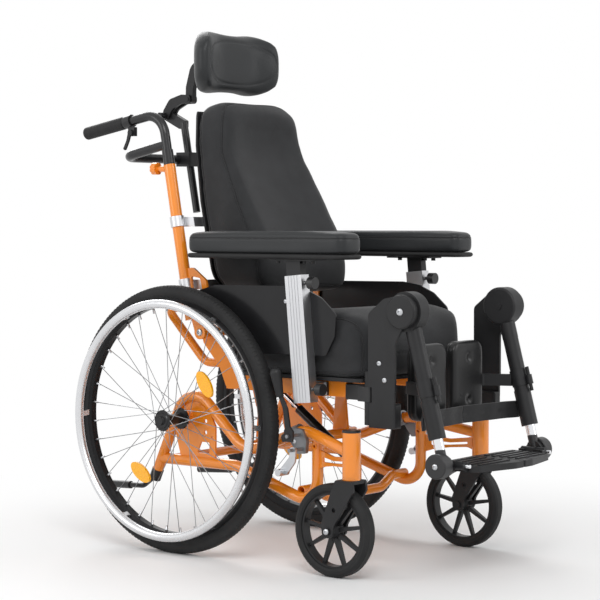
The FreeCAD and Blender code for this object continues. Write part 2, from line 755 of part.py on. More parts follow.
def brake_lever():
    """Hand lever: a pivot plate, a bent flat bar and a moulded grip."""
    inner = BRAKE_X - 1.5
    y, z = BRAKE_PIVOT
    plate = side_plate(
        ((y - 12, z - 12), (y + 9, z - 12), (y + 12, z + 12), (y + 2, z + 24), (y - 13, z + 12)),
        inner, inner + 5, radius=5)
    arm = side_plate(
        ((-352, 296), (-338, 296), (-330, 352), (BRAKE_GRIP[0] - 3, BRAKE_GRIP[1] - 30),
         (BRAKE_GRIP[0] - 12, BRAKE_GRIP[1] - 28), (-342, 352)), inner, inner + 5, radii=(3, 3, 30, 2, 2, 30))
    foot = point(BRAKE_X + 1, (BRAKE_GRIP[0] - 9, BRAKE_GRIP[1] - 36))
    head = point(BRAKE_X + 1, (BRAKE_GRIP[0] + 3, BRAKE_GRIP[1] + 14))
    grip = cone(foot, head, 8, 13)
    top = Part.makeSphere(13, head)
    body = fuse([plate, arm, grip, top])
    return body.cut(x_rod(inner - 20, inner + 30, BRAKE_PIVOT, BRAKE_PIN_R + RUNNING))


def brake_shoe():
    """Arm that carries the knurled shoe which presses on the tyre."""
    inner = BRAKE_X - 8.5
    y, z = SHOE_PIVOT
    tip_y, tip_z = SHOE_TIP
    arm = side_plate(
        ((y - 9, z + 6), (y + 8, z + 6), (y + 10, z - 16), (tip_y + 4, tip_z + 7), (tip_y + 2, tip_z - 6),
         (tip_y - 14, tip_z - 4), (y - 6, z - 26)),
        inner, inner + 5, radii=(6, 6, 10, 3, 3, 8, 14))
    shoe = x_rod(WHEEL_X - 16, WHEEL_X + 16, SHOE_TIP, SHOE_R)
    body = fuse([arm, shoe])
    return body.cut(x_rod(inner - 20, inner + 30, SHOE_PIVOT, BRAKE_PIN_R + RUNNING))


def seat_rail():
    rail = box((RAIL_X - RAIL_WIDTH / 2, RAIL_FRONT, RAIL_BOTTOM),
               (RAIL_X + RAIL_WIDTH / 2, RAIL_REAR, RAIL_BOTTOM + RAIL_HEIGHT))
    hollow = box((RAIL_X - RAIL_WIDTH / 2 + 2, RAIL_FRONT - 1, RAIL_BOTTOM + 2),
                 (RAIL_X + RAIL_WIDTH / 2 - 2, RAIL_REAR + 1, RAIL_BOTTOM + RAIL_HEIGHT - 2))
    long_edges = [e for e in rail.Edges if abs(e.Length - (RAIL_REAR - RAIL_FRONT)) < 0.01]
    return rail.makeFillet(4, long_edges).cut(hollow)


def bracket_inner():
    return RAIL_X + RAIL_WIDTH / 2


def seat_bracket():
    """Plate on the rail's rear end that carries the back's hinge."""
    outline = (
        (-150, RAIL_BOTTOM + 2), (-98, RAIL_BOTTOM + 2), (-76, 425), (RECLINE_Y + 18, 478),
        (RECLINE_Y + 24, 503),
        (RECLINE_Y + 8, 523), (RECLINE_Y - 18, 520), (-80, 470), (-118, 425), (-150, RAIL_BOTTOM + 34),
    )
    inner = bracket_inner()
    plate = side_plate(outline, inner, inner + PLATE, radii=(3, 12, 30, 14, 14, 14, 14, 30, 30, 3))
    return plate


def rear_bow():
    """Bent tube behind the seat that joins the two rear brackets."""
    x = bracket_inner() - BOW_R - WELD_GAP
    half = [Vector(x, -98, 431.5), Vector(x, -20, 431.5), Vector(x, 100, 552)]
    corners = half + [Vector(-v.x, v.y, v.z) for v in reversed(half)]
    return swept_tube(corners, (42, 26, 26, 42), BOW_R, BOW_R - 2)


def beside(shape):
    """Moves a piece that is drawn on the middle plane over to the recline spring's own plane."""
    moved = shape.copy()
    moved.translate(Vector(RECLINE_SPRING_X, 0, 0))
    return moved


def seat_frame():
    ears = []
    inner = RAIL_X - RAIL_WIDTH / 2
    ear_outline = (
        (TILT_Y - 26, RAIL_BOTTOM + 4), (TILT_Y - 13, TILT_Z - 13),
        (TILT_Y + 13, TILT_Z - 13), (TILT_Y + 26, RAIL_BOTTOM + 4),
    )
    ear = side_plate(ear_outline, inner, inner + 6, radii=(0, 12, 12, 0))
    ear = ear.cut(x_rod(inner - 20, inner + 20, (TILT_Y, TILT_Z), TILT_PIN_R + RUNNING))
    ear = ear.cut(box((inner + 2, -300, RAIL_BOTTOM + 2), (inner + 20, 0, RAIL_BOTTOM + RAIL_HEIGHT)))
    bracket = seat_bracket()
    bracket = bracket.cut(x_rod(100, 300, (RECLINE_Y, RECLINE_Z), TORQUE_TUBE_R + RUNNING))
    for side in SIDES:
        ears.append(on_side(fuse([seat_rail(), ear, bracket]), side))
    cross_z = RAIL_BOTTOM + RAIL_HEIGHT / 2
    y = TILT_SPRING_SEAT[0]
    low = RAIL_BOTTOM
    rear_cross = box((-inner - 2, y - 50, low + 3), (inner + 2, y - 30, low + 14))
    rod_room = box((-8, y - 51, low + 10), (8, y - 29, low + 15))
    crosses = [rear_cross.cut(beside(rod_room))]
    tilt_lug = side_plate(
        ((y - 46, low + 4), (y + 4, low + 4), (y + 9, cross_z + 7), (y - 9, cross_z + 8), (y - 46, low + 12)),
        9, 13, radii=(0, 7, 7, 9, 0))
    tilt_pin = x_rod(-13, 13, TILT_SPRING_SEAT, SPRING_PIN_R)
    y = RECLINE_SPRING_SEAT[0]
    crosses.append(box((-inner - 2, y - 10, cross_z - 10), (inner + 2, y + 10, cross_z + 10)))
    middle = RECLINE_SPRING_SEAT[1]
    recline_lug = side_plate(
        ((y - 8, middle - 6), (y + 34, middle - 9), (y + 34, middle + 9), (y - 8, middle + 9)),
        -13, -9, radii=(0, 7, 7, 0))
    recline_lugs = both_sides(recline_lug) + [x_rod(-13, 13, recline_spring_front(), SPRING_PIN_R)]
    recline_lugs = [beside(shape) for shape in recline_lugs]
    bow = rear_bow()
    body = fuse(ears + crosses + both_sides(tilt_lug) + [tilt_pin] + recline_lugs)
    receivers = both_sides(receiver())
    caps = both_sides(rail_plug())
    return [body, bow] + receivers + caps


def rail_plug():
    y = RAIL_REAR + WELD_GAP
    half = RAIL_WIDTH / 2 - 1
    top = RAIL_BOTTOM + RAIL_HEIGHT - 1
    return box((RAIL_X - half, y, RAIL_BOTTOM + 1), (RAIL_X + half, y + RAIL_PLUG, top))


def receiver():
    """Black end of the rail, with the lug and the upright pin on which the legrest swings."""
    low, high = SWING_LUG
    half = RAIL_WIDTH / 2 + 2
    block = box((RAIL_X - half, SWING_Y + 26, low), (RAIL_X + half, RAIL_FRONT - WELD_GAP, high))
    neck = flat_plate(
        ((RAIL_X - 4, SWING_Y + 30), (SWING_X - 12, SWING_Y - 4), (SWING_X, SWING_Y - 13),
         (SWING_X + 12, SWING_Y - 4), (SWING_X + 6, SWING_Y + 30)), low, high, radii=(0, 6, 8, 6, 0))
    pin_length = HANGER_HEAD - HANGER_FOOT - 4
    pin = Part.makeCylinder(SWING_PIN_R, pin_length, Vector(SWING_X, SWING_Y, HANGER_FOOT + 2))
    return fuse([block, neck, pin])


def seat_pan():
    """Flat pan under the cushion, notched round the back's hinge."""
    top = RAIL_BOTTOM + RAIL_HEIGHT + SEATED
    outline = ((-PAN_HALF, PAN_FRONT), (PAN_HALF, PAN_FRONT), (PAN_HALF, -150), (165, -150), (165, PAN_REAR),
               (-165, PAN_REAR), (-165, -150), (-PAN_HALF, -150))
    pan = flat_plate(outline, top, top + PAN_THICK, radii=(18, 18, 6, 3, 6, 6, 3, 6))
    lever_room = box((-22, PAN_REAR - 34, top - 1), (22, 0, top + PAN_THICK + 1))
    return [pan.cut(beside(lever_room))]


def pan_top():
    return RAIL_BOTTOM + RAIL_HEIGHT + SEATED + PAN_THICK


def seat_cushion():
    """Foam cushion: a deep rounded front edge and a top that falls towards the back."""
    low = pan_top() + SEATED
    side = (
        (CUSHION_FRONT + 8, low), (CUSHION_FRONT, 470), (CUSHION_FRONT + 22, 545),
        (CUSHION_FRONT + 82, CUSHION_TOP),
        (CUSHION_FRONT + 250, 548), (CUSHION_REAR - 8, 532),
        (CUSHION_REAR - 4, 505), (CUSHION_REAR - 20, low),
    )
    body = side_plate(side, -CUSHION_HALF, CUSHION_HALF, radii=(14, 60, 50, 60, 200, 14, 8, 8))
    top = CUSHION_TOP + 10
    front = front_plate(
        ((-CUSHION_HALF, low - 5), (CUSHION_HALF, low - 5), (CUSHION_HALF, top), (-CUSHION_HALF, top)),
        CUSHION_FRONT - 5, CUSHION_REAR + 5, radii=(4, 4, 40, 40))
    corner = CUSHION_FRONT - 5
    plan = flat_plate(
        ((-CUSHION_HALF, CUSHION_REAR), (-CUSHION_HALF, corner + 52), (-CUSHION_HALF + 56, corner),
         (CUSHION_HALF - 56, corner), (CUSHION_HALF, corner + 52), (CUSHION_HALF, CUSHION_REAR)),
        low - 5, top, radii=(0, 30, 30, 30, 30, 0))
    notch = box((bracket_inner() - SEATED, -160, low - 5), (CUSHION_HALF + 5, CUSHION_REAR + 5, 600))
    return [cut(body.common(front).common(plan), both_sides(notch))]


def side_panels():
    """Clothes guards between the seat and the wheels, each with a smoked guard at its front."""
    outer = SOCKET_X - SOCKET_WIDTH / 2 - SEATED
    inner = outer - PANEL_THICK
    panel = side_plate(
        ((-40, 598), (-95, 612), (-313, 614), (-366, 606), (-366, 466), (-227, 463), (-130, 505), (-60, 560)),
        inner, outer, radii=(8, 30, 20, 4, 4, 60, 60, 20))
    guard = side_plate(
        ((-366.3, 604), (-400, 590), (-440, 556), (-436, 508), (-412, 466), (-366.3, 466)),
        inner, outer, radii=(1, 20, 14, 20, 6, 1))
    return [on_side(piece, side) for piece in (panel, guard) for side in SIDES]


def socket_axis():
    return heading_of(SOCKET_FOOT, SOCKET_TOP)


def leaned_box(half_depth, half_width, low, high, centre_x=SOCKET_X):
    """A box on the socket's leaning axis, from low to high along it, measured from its foot."""
    size = Part.makeBox(2 * half_width, 2 * half_depth, high - low, Vector(-half_width, -half_depth, low))
    axis = socket_axis()
    size.rotate(ORIGIN, X_AXIS, -math.degrees(math.atan2(axis.y, axis.z)))
    size.translate(point(centre_x, SOCKET_FOOT))
    return size


def socket_length():
    return (point(0, SOCKET_TOP) - point(0, SOCKET_FOOT)).Length


def armrest_socket():
    length = socket_length()
    outer = leaned_box(SOCKET_DEPTH / 2, SOCKET_WIDTH / 2, 0, length)
    inner = leaned_box(SOCKET_DEPTH / 2 - SOCKET_WALL, SOCKET_WIDTH / 2 - SOCKET_WALL, 12, length + 1)
    grooves = []
    for offset in (-12, -4, 4, 12):
        groove = leaned_box(1.6, 1, -1, length + 1, SOCKET_X + SOCKET_WIDTH / 2)
        groove.translate(Vector(0, offset, 0))
        grooves.append(groove)
    body = cut(outer.cut(inner), grooves)
    inner_face = SOCKET_X - SOCKET_WIDTH / 2
    arm = box((bracket_inner() + PLATE, -384, RAIL_BOTTOM + 4), (inner_face + 0.5, -350, RAIL_BOTTOM + 30))
    rail_face = bracket_inner() + SEATED
    foot = box((rail_face, -390, RAIL_BOTTOM + 2), (rail_face + PLATE + 1, -344, RAIL_BOTTOM + 32))
    knobs = []
    for height in (30, length - 16):
        front = point(SOCKET_X, SOCKET_FOOT) + socket_axis() * height - Vector(0, SOCKET_DEPTH / 2 - 0.5, 0)
        stem = rod(front, front - Vector(0, 12, 0), 4)
        head = rod(front - Vector(0, 12, 0), front - Vector(0, 28, 0), 13)
        knobs.append(stem.fuse(head))
    return fuse([body, arm, foot] + knobs)


def armrest_post():
    """Inner post that slides in the socket, with the plate under the pad."""
    depth = SOCKET_DEPTH / 2 - SOCKET_WALL - POST_CLEARANCE
    width = SOCKET_WIDTH / 2 - SOCKET_WALL - POST_CLEARANCE
    top = ARM_PAD_BOTTOM - 3.5
    reach = (top - SOCKET_FOOT[1]) / socket_axis().z + 4
    outer = leaned_box(depth, width, 110, reach)
    inner = leaned_box(depth - 2, width - 2, 112, reach + 1)
    lid = box((0, -600, top), (400, 0, top + 100))
    post = outer.cut(inner).cut(lid)
    y = SOCKET_TOP[0] + 2
    plate = box((SOCKET_X - 36, y - 60, top), (SOCKET_X + 16, y + 60, top + 3.2))
    nuts = []
    for dy in (-48, -24, 48):
        nuts.append(Part.makeCylinder(5, 6, Vector(SOCKET_X, y + dy, top - 6)))
    return fuse([post, plate] + nuts)


def armrest_pad():
    """Padded armrest on its moulded base: base and pad are separate solids."""
    middle = (ARM_PAD_INNER + ARM_PAD_OUTER) / 2
    plan = (
        (ARM_PAD_INNER, ARM_PAD_FRONT), (ARM_PAD_OUTER, ARM_PAD_FRONT), (ARM_PAD_OUTER, ARM_PAD_REAR),
        (ARM_PAD_INNER, ARM_PAD_REAR),
    )
    base = flat_plate(plan, ARM_PAD_BOTTOM, ARM_PAD_BOTTOM + ARM_BASE_THICK, radii=(24, 24, 16, 16))
    foam_foot = ARM_PAD_BOTTOM + ARM_BASE_THICK + 0.1
    foam = flat_plate(plan, foam_foot, ARM_PAD_TOP, radii=(24, 24, 16, 16))
    top_edges = [e for e in foam.Edges if e.BoundBox.ZMin > ARM_PAD_TOP - 1]
    return [base, foam.makeFillet(8, top_edges)]


def cane_point(z):
    share = (z - CANE_FOOT[1]) / (CANE_TOP[1] - CANE_FOOT[1])
    return between(CANE_FOOT, CANE_TOP, share)


def cane_axis():
    return heading_of(CANE_FOOT, CANE_TOP)


def back_frame():
    """Two back canes, their hinge plates and the torque tube with the spring's lever."""
    foot = point(CANE_X, CANE_FOOT)
    top = point(CANE_X, CANE_TOP)
    cane = rod(foot, top, CANE_R)
    bore = rod(foot + cane_axis() * 18, top + cane_axis(), CANE_BORE)
    gusset = side_plate(
        ((RECLINE_Y - 16, 490), (RECLINE_Y + 14, 488),
         (cane_point(560)[0] - 4, 545), (cane_point(646)[0], 646),
         (cane_point(646)[0] - 30, 650), (-60, 622), (-66, 590)),
        CANE_X - 3, CANE_X + 3, radii=(14, 14, 0, 0, 12, 14, 26))
    slot = side_plate(
        ((-44, 540), (cane_point(580)[0] - 21, 560), (cane_point(630)[0] - 21, 630), (-42, 626), (-50, 596)),
        CANE_X - 6, CANE_X + 6, radii=(4, 4, 4, 5, 20))
    boss_at = point(CANE_X, cane_point(874))
    knob_boss = rod(boss_at, boss_at + Vector(0, 30, 2), 7)
    outer = fuse([cane, gusset.cut(slot), knob_boss])
    sides = both_sides(outer.cut(bore))
    tube = x_rod(-CANE_X - 3, CANE_X + 3, (RECLINE_Y, RECLINE_Z), TORQUE_TUBE_R)
    spring = RECLINE_SPRING_BACK
    lever = side_plate(
        ((RECLINE_Y - 10, RECLINE_Z), (spring[0] - 9, spring[1] - 8),
         (spring[0] + 9, spring[1] - 8), (RECLINE_Y + 12, RECLINE_Z)),
        9, 13, radii=(0, 8, 8, 0))
    pin = x_rod(-13, 13, spring, SPRING_PIN_R)
    levers = [beside(shape) for shape in both_sides(lever) + [pin]]
    knobs = []
    knob_foot = boss_at + Vector(0, 30 + WELD_GAP, 2)
    for side in SIDES:
        stem = rod(knob_foot, knob_foot + Vector(0, 7, 0.5), 5)
        star = star_knob(knob_foot + Vector(0, 7, 0.5), 14)
        knobs.append(on_side(stem.fuse(star), side))
    cap = x_rod(CANE_X - 3, CANE_X + 8, (RECLINE_Y, RECLINE_Z), TORQUE_TUBE_R + 5)
    body = fuse(sides + [tube] + both_sides(cap) + levers)
    return [body] + knobs


def star_knob(start, radius):
    """A knob with eight rounded lobes, its axis along +Y."""
    disc = rod(start, start + Vector(0, 15, 0), radius)
    dents = []
    for i in range(8):
        a = math.radians(45 * i)
        foot = start + Vector(radius * 1.12 * math.cos(a), -1, radius * 1.12 * math.sin(a))
        dents.append(rod(foot, foot + Vector(0, 17, 0), 3.2))
    return cut(disc, dents)


def shell_back(z):
    """The y of the back shell's rear face at a height."""
    low = (-46.0, 590.0)
    high = (34.0, 975.0)
    return low[0] + (high[0] - low[0]) * (z - low[1]) / (high[1] - low[1])


def back_outline(half_extra=0.0):
    h = BACK_HALF + half_extra
    top = BACK_TOP + half_extra
    right = ((h, 592), (h, 800), (h - 14, 930), (h - 40, top))
    return right + tuple((-x, z) for x, z in reversed(right))


def back_shell():
    low = shell_back(592)
    high = shell_back(BACK_TOP - 30)
    side = ((low, 592), (high, BACK_TOP - 30), (high - SHELL_THICK, BACK_TOP - 30), (low - SHELL_THICK, 592))
    plate = side_plate(side, -BACK_HALF - 5, BACK_HALF + 5)
    front = front_plate(back_outline(-8.0), -300, 200, radii=(20, 20, 60, 60, 50, 50, 60, 60))
    return [plate.common(front)]


def back_cushion():
    """Contoured back cushion: narrow at the shoulders, with a deep lumbar bulge."""
    gap = SHELL_THICK + SEATED
    side = (
        (shell_back(592) - gap, 592), (shell_back(975) - gap, 975),
        (shell_back(1010) - gap - 4, 1036), (-30, BACK_TOP),
        (-58, 1000), (-56, 925), (-112, 820), (-172, 715), (-190, 640), (-186, 592),
    )
    body = side_plate(side, -BACK_HALF - 5, BACK_HALF + 5, radii=(4, 0, 24, 24, 50, 120, 200, 120, 60, 10))
    front = front_plate(back_outline(), -300, 200, radii=(20, 20, 60, 60, 55, 55, 60, 60))
    return [body.common(front)]


def back_clamps():
    """Bright clamp brackets from the canes to the shell's edge."""
    clamps = []
    for z in (754, 611):
        y = cane_point(z)[0]
        middle = point(CANE_X, (y, z))
        ring = rod(middle - cane_axis() * 12, middle + cane_axis() * 12, CANE_R + 3)
        hole = rod(middle - cane_axis() * 20, middle + cane_axis() * 20, CANE_R + WELD_GAP)
        low_y = shell_back(z - 11) + SEATED
        high_y = shell_back(z + 11) + SEATED
        strap = side_plate(
            ((low_y, z - 11), (low_y + 3, z - 11), (high_y + 3, z + 11), (high_y, z + 11)),
            BACK_HALF - 30, CANE_X - CANE_R)
        web = side_plate(
            ((low_y, z - 11), (y, z - 11), (y, z + 11), (high_y, z + 11)),
            CANE_X - CANE_R - 3, CANE_X - CANE_R + 3)
        gusset_room = box((CANE_X - 3 - WELD_GAP, -90, 480), (CANE_X + 3 + WELD_GAP, y, 672))
        clamp = cut(fuse([ring, strap, web]), [hole, gusset_room])
        clamps.extend(both_sides(clamp))
    return clamps


def push_handles():
    """Handle tubes that slide in the canes, joined by a bar that runs out and across behind."""
    top = point(CANE_X, CANE_TOP)
    axis = cane_axis()
    foot = top - axis * 190
    peak = point(CANE_X, cane_point(HANDLE_PEAK_Z))
    along = handle_axis()
    grip = grip_front()
    tube_end = point(CANE_X, GRIP_END) - along * 6
    tube = swept_tube([foot, peak, tube_end], (HANDLE_BEND,), HANDLE_R, HANDLE_R - 2)
    collar = rod(top + axis * SEATED, top + axis * 34, CANE_R - 0.5)
    collar = collar.cut(rod(top - axis, top + axis * 50, HANDLE_R - 1))
    front = point(CANE_X, cane_point(BAR_FRONT_Z))
    rear = point(CANE_X, BAR_REAR)
    bar = swept_tube([front, rear, Vector(-rear.x, rear.y, rear.z), Vector(-front.x, front.y, front.z)],
                     (BAR_BEND, BAR_BEND), HANDLE_R, HANDLE_R - 2)
    bar = cut(bar, both_sides(rod(foot, peak, HANDLE_R - 1)))
    ring = rod(grip - along * 24, grip - along * 2, HANDLE_R + 4)
    ring = ring.cut(rod(grip - along * 30, grip, HANDLE_R - 0.5))
    ear = box((CANE_X - 5, grip.y - 34, grip.z - 32), (CANE_X + 5, grip.y - 14, grip.z - 11))
    brackets = both_sides(fuse([ring, ear]).cut(x_rod(100, 300, lever_pivot(), LEVER_PIN_R + RUNNING)))
    clamp_y, clamp_z = post_clamp()
    clamp = box((-17, clamp_y - 14, clamp_z - 17), (17, BAR_REAR[0] + 4, clamp_z + 17))
    post_room = rod(point(0, POST_FOOT) - post_axis() * 50, point(0, POST_TOP), POST_R + RUNNING)
    clamp = clamp.cut(post_room)
    bar_room = x_rod(-40, 40, BAR_REAR, HANDLE_R - 2)
    clamp = clamp.cut(bar_room)
    return [fuse(both_sides(fuse([tube, collar])) + [bar, clamp] + brackets)]


def handle_axis():
    return heading_of(cane_point(HANDLE_PEAK_Z), GRIP_END)


def grip_front():
    return point(CANE_X, GRIP_END) - handle_axis() * GRIP_LENGTH


def lever_pivot():
    return (grip_front().y - 24, grip_front().z - 24)


def post_axis():
    return heading_of(POST_FOOT, POST_TOP)


def post_clamp():
    """Where the headrest post passes beside the push bar."""
    z = BAR_REAR[1]
    share = (z - POST_FOOT[1]) / (POST_TOP[1] - POST_FOOT[1])
    return between(POST_FOOT, POST_TOP, share)


def hand_grips():
    front = grip_front()
    end = point(CANE_X, GRIP_END)
    along = handle_axis()
    grip = rod(front, end, GRIP_R)
    grip = grip.makeFillet(4, [e for e in grip.Edges if e.Closed])
    grip = grip.cut(rod(front - along, end - along * 5.5, HANDLE_R + WELD_GAP))
    return both_sides(grip)


def release_lever():
    """Trigger that unlocks the tilt: a pivot barrel and a finger blade with a ball end."""
    pivot = lever_pivot()
    y, z = pivot
    barrel = x_rod(CANE_X + 5.3, CANE_X + 10, pivot, 7)
    pin = x_rod(CANE_X - 8, CANE_X + 6, pivot, LEVER_PIN_R)
    blade = side_plate(
        ((y - 5, z + 4), (y + 6, z), (y + 11, z - 18), (y + 20, z - 34), (y + 13, z - 37), (y + 4, z - 20)),
        CANE_X + 5.3, CANE_X + 10, radii=(3, 3, 12, 3, 3, 12))
    ball = Part.makeSphere(4.5, Vector(CANE_X + 7.6, y + 17, z - 36))
    return fuse([barrel, pin, blade, ball])


def headrest_post():
    """Round post with the lower joint's fork at its head."""
    top = point(0, POST_TOP)
    shaft = rod(point(0, POST_FOOT), top, POST_R)
    y, z = LOWER_PIVOT
    top_y, top_z = POST_TOP
    knuckle = side_plate(
        ((top_y - 9, top_z - 12), (top_y + 8, top_z - 16), (y + 12, z - 6),
         (y + 10, z + 12), (y - 10, z + 12), (top_y - 9, top_z + 4)),
        -7, 7, radii=(3, 8, 9, 9, 9, 4))
    knuckle = knuckle.cut(x_rod(-20, 20, LOWER_PIVOT, HEAD_PIN_R + RUNNING))
    return [fuse([shaft, knuckle])]


def lower_arm():
    """Curved arm between the lower and the upper joint, with the lower joint's pin and knob."""
    y0, z0 = LOWER_PIVOT
    y1, z1 = UPPER_PIVOT
    outline = ((y0 + 9, z0 - 6), (y0 + 4, z0 + 14), (y0 - 16, z1 + 2), (y1 + 20, z1 + 12), (y1 - 8, z1 + 10),
               (y1 - 8, z1 - 10), (y1 + 22, z1 - 10), (y0 - 22, z0 + 14), (y0 - 12, z0 - 8))
    plate = side_plate(outline, 7.3, 13.3, radii=(7, 14, 22, 14, 8, 8, 22, 22, 8))
    plates = both_sides(plate)
    bridge_y, bridge_z = between(LOWER_PIVOT, UPPER_PIVOT, 0.5)
    bridge = box((-8, bridge_y - 2, bridge_z + 7), (8, bridge_y + 14, bridge_z + 17))
    pin = x_rod(-15, 13, LOWER_PIVOT, HEAD_PIN_R)
    upper = x_rod(-15, 15, UPPER_PIVOT, HEAD_PIN_R)
    knob = x_rod(-32, -15, LOWER_PIVOT, 8)
    return [fuse(plates + [bridge, pin, upper, knob])]


def upper_arm():
    """Upright arm that curves forward to the pad's joint."""
    y0, z0 = UPPER_PIVOT
    y1, z1 = PAD_PIVOT
    outline = (
        (y0 - 12, z0 - 8), (y0 + 11, z0 - 8), (y0 + 10, z0 + 30), (y0 - 8, z1 + 10),
        (y1 + 10, z1 + 14), (y1 - 2, z1 + 8), (y1 - 2, z1 - 8), (y1 + 12, z1 - 12),
        (y0 - 24, z1 - 22), (y0 - 12, z0 + 24),
    )
    arm = side_plate(outline, -7, 7, radii=(8, 8, 30, 30, 8, 8, 6, 10, 20, 24))
    bores = [x_rod(-20, 20, pivot, HEAD_PIN_R + RUNNING) for pivot in (UPPER_PIVOT, PAD_PIVOT)]
    return [cut(arm, bores)]


def headrest_pad():
    """Winged pad on a moulded back plate with the joint's ears: plate and pad are two solids."""
    y, z = PAD_PIVOT
    h = HEAD_PAD_HALF
    plan = (
        (-h, 6), (-h + 22, -10), (-h + 50, 18), (-60, 34), (60, 34), (h - 50, 18), (h - 22, -10), (h, 6),
        (h - 14, 42), (80, 78), (-80, 78), (-h + 14, 42),
    )
    low, high = HEAD_PAD_BOTTOM, HEAD_PAD_TOP
    pad = flat_plate(plan, low, high, radii=(10, 10, 24, 60, 60, 24, 10, 10, 20, 40, 40, 20))
    face = front_plate(((-h, low), (h, low), (h, high), (-h, high)), -50, 120, radius=44)
    pad = pad.common(face)
    plate = front_plate(((-55, z - 32), (55, z - 32), (55, z + 32), (-55, z + 32)), 78.3, 83, radius=10)
    ear_outline = ((82, z - 12), (y + 9, z - 9), (y + 9, z + 9), (82, z + 12))
    ear = side_plate(ear_outline, 7.3, 12, radii=(0, 8, 8, 0))
    pin = x_rod(-13, 13, PAD_PIVOT, HEAD_PIN_R)
    lever = side_plate(
        ((y - 4, z - 5), (y + 20, z - 24), (y + 25, z - 18), (y + 4, z + 6)), -16, -12, radii=(3, 2, 2, 3))
    mount = fuse([plate] + both_sides(ear) + [pin, lever])
    return [pad, mount]


def hanger():
    """Swing-away hanger: sleeves on the upright pin, a plate up to the knee and a lower cover."""
    low, high = SWING_LUG
    foot = Vector(SWING_X, SWING_Y, HANGER_FOOT)
    above = Vector(SWING_X, SWING_Y, high + SEATED)
    sleeves = [
        Part.makeCylinder(SWING_SLEEVE_R, low - SEATED - HANGER_FOOT, foot),
        Part.makeCylinder(SWING_SLEEVE_R, HANGER_HEAD - above.z, above),
    ]
    front = SWING_Y - SWING_SLEEVE_R
    lower = box((SWING_X - 10, front - 62, HANGER_FOOT - 4), (HANGER_X + 3, front + 5, low - SEATED))
    lower = lower.makeFillet(5, [e for e in lower.Edges if e.BoundBox.YMax < front - 50])
    web = box((HANGER_X - 3, front - 60, low - 10), (HANGER_X + 3, front - 2, high + 30))
    plate = side_plate(
        ((front + 8, high + SEATED), (front + 8, 560), (-560, 592), (KNEE_Y, KNEE_Z + 36),
         (KNEE_Y - 36, KNEE_Z), (KNEE_Y, KNEE_Z - 34), (front - 62, 500), (front - 62, high - 8),
         (front - 16, high - 8), (front - 16, high + SEATED)),
        HANGER_X - 3, HANGER_X + 3, radii=(2, 14, 24, 34, 34, 30, 20, 2, 0, 0))
    knuckle = x_rod(HANGER_X - 3, HANGER_X + 13, (KNEE_Y, KNEE_Z), KNEE_R - 6)
    rim = [e for e in knuckle.Edges if e.Closed and e.BoundBox.XMin > HANGER_X + 10]
    knuckle = knuckle.makeFillet(4, rim)
    pin = x_rod(LEG_X - 20, HANGER_X, (KNEE_Y, KNEE_Z), KNEE_PIN_R)
    body = fuse(sleeves + [lower, web, plate, knuckle, pin])
    room = Part.makeCylinder(SWING_PIN_R + RUNNING, 300, Vector(SWING_X, SWING_Y, 200))
    return [body.cut(room)]


def leg_axis():
    return heading_of(LEG_TOP, FOOT_JOINT)


def leg_point(share):
    return point(LEG_X, between(LEG_TOP, FOOT_JOINT, share))


def leg_sleeve():
    """Elevating leg: knee disc, outer sleeve, calf-pad clamp and arm, and half the calf strap."""
    disc_outer = HANGER_X - 3 - SEATED
    disc_inner = LEG_X - 18
    disc = x_rod(disc_inner, disc_outer, (KNEE_Y, KNEE_Z), KNEE_R)
    disc = disc.makeFillet(5, [e for e in disc.Edges if e.Closed and e.BoundBox.XMax < disc_inner + 1])
    sleeve = rod(leg_point(0), leg_point(SLEEVE_END), SLEEVE_R)
    neck = rod(leg_point(-0.05), leg_point(0.16), SLEEVE_R + 0.5)
    collar = rod(leg_point(0.55), leg_point(SLEEVE_END), SLEEVE_R + 1.5)
    clamp = rod(leg_point(0.40), leg_point(0.52), SLEEVE_R + 2)
    bore = rod(leg_point(0.2), leg_point(1), FOOT_TUBE_R + RUNNING)
    hinge = rod(leg_point(0.37) - Vector(0, SLEEVE_R + 9, 0), leg_point(0.55) - Vector(0, SLEEVE_R + 9, 0), 4)
    ear = rod(leg_point(0.43) - Vector(0, SLEEVE_R + 9, 0), leg_point(0.50) - Vector(0, SLEEVE_R + 9, 0), 7)
    arm_z = CALF_Z - 8
    edge = CALF_X + CALF_WIDTH / 2
    centre = leg_point(0.46)
    arm = flat_plate(
        ((centre.x, centre.y + 6), (centre.x - 6, centre.y + 20),
         (edge + 14, CALF_Y + 6), (edge + 2, CALF_Y + 6),
         (edge + 2, CALF_Y - 6), (edge + 8, CALF_Y - 8), (centre.x - 16, centre.y + 12)),
        arm_z - 13, arm_z + 13, radii=(0, 6, 10, 2, 2, 6, 0))
    pin = x_rod(edge - 14, edge + 5, (CALF_Y, arm_z), CALF_PIN_R)
    body = fuse([disc, sleeve, neck, collar, clamp, hinge, ear, arm, pin])
    body = cut(body, [bore, x_rod(disc_inner - 5, disc_outer + 5, (KNEE_Y, KNEE_Z), KNEE_PIN_R + RUNNING)])
    strap_at = leg_point(0.70)
    y = strap_at.y + SLEEVE_R + 1.5
    strap_rear = y + 4
    strap = flat_plate(
        ((1, strap_rear + 24), (LEG_X - 30, strap_rear + 8), (LEG_X + 6, strap_rear - 3),
         (LEG_X + 6, strap_rear), (LEG_X - 28, strap_rear + 11), (1, strap_rear + 27)),
        strap_at.z - 18, strap_at.z + 18)
    strap.translate(Vector(0, 4, 0))
    return [body, strap]


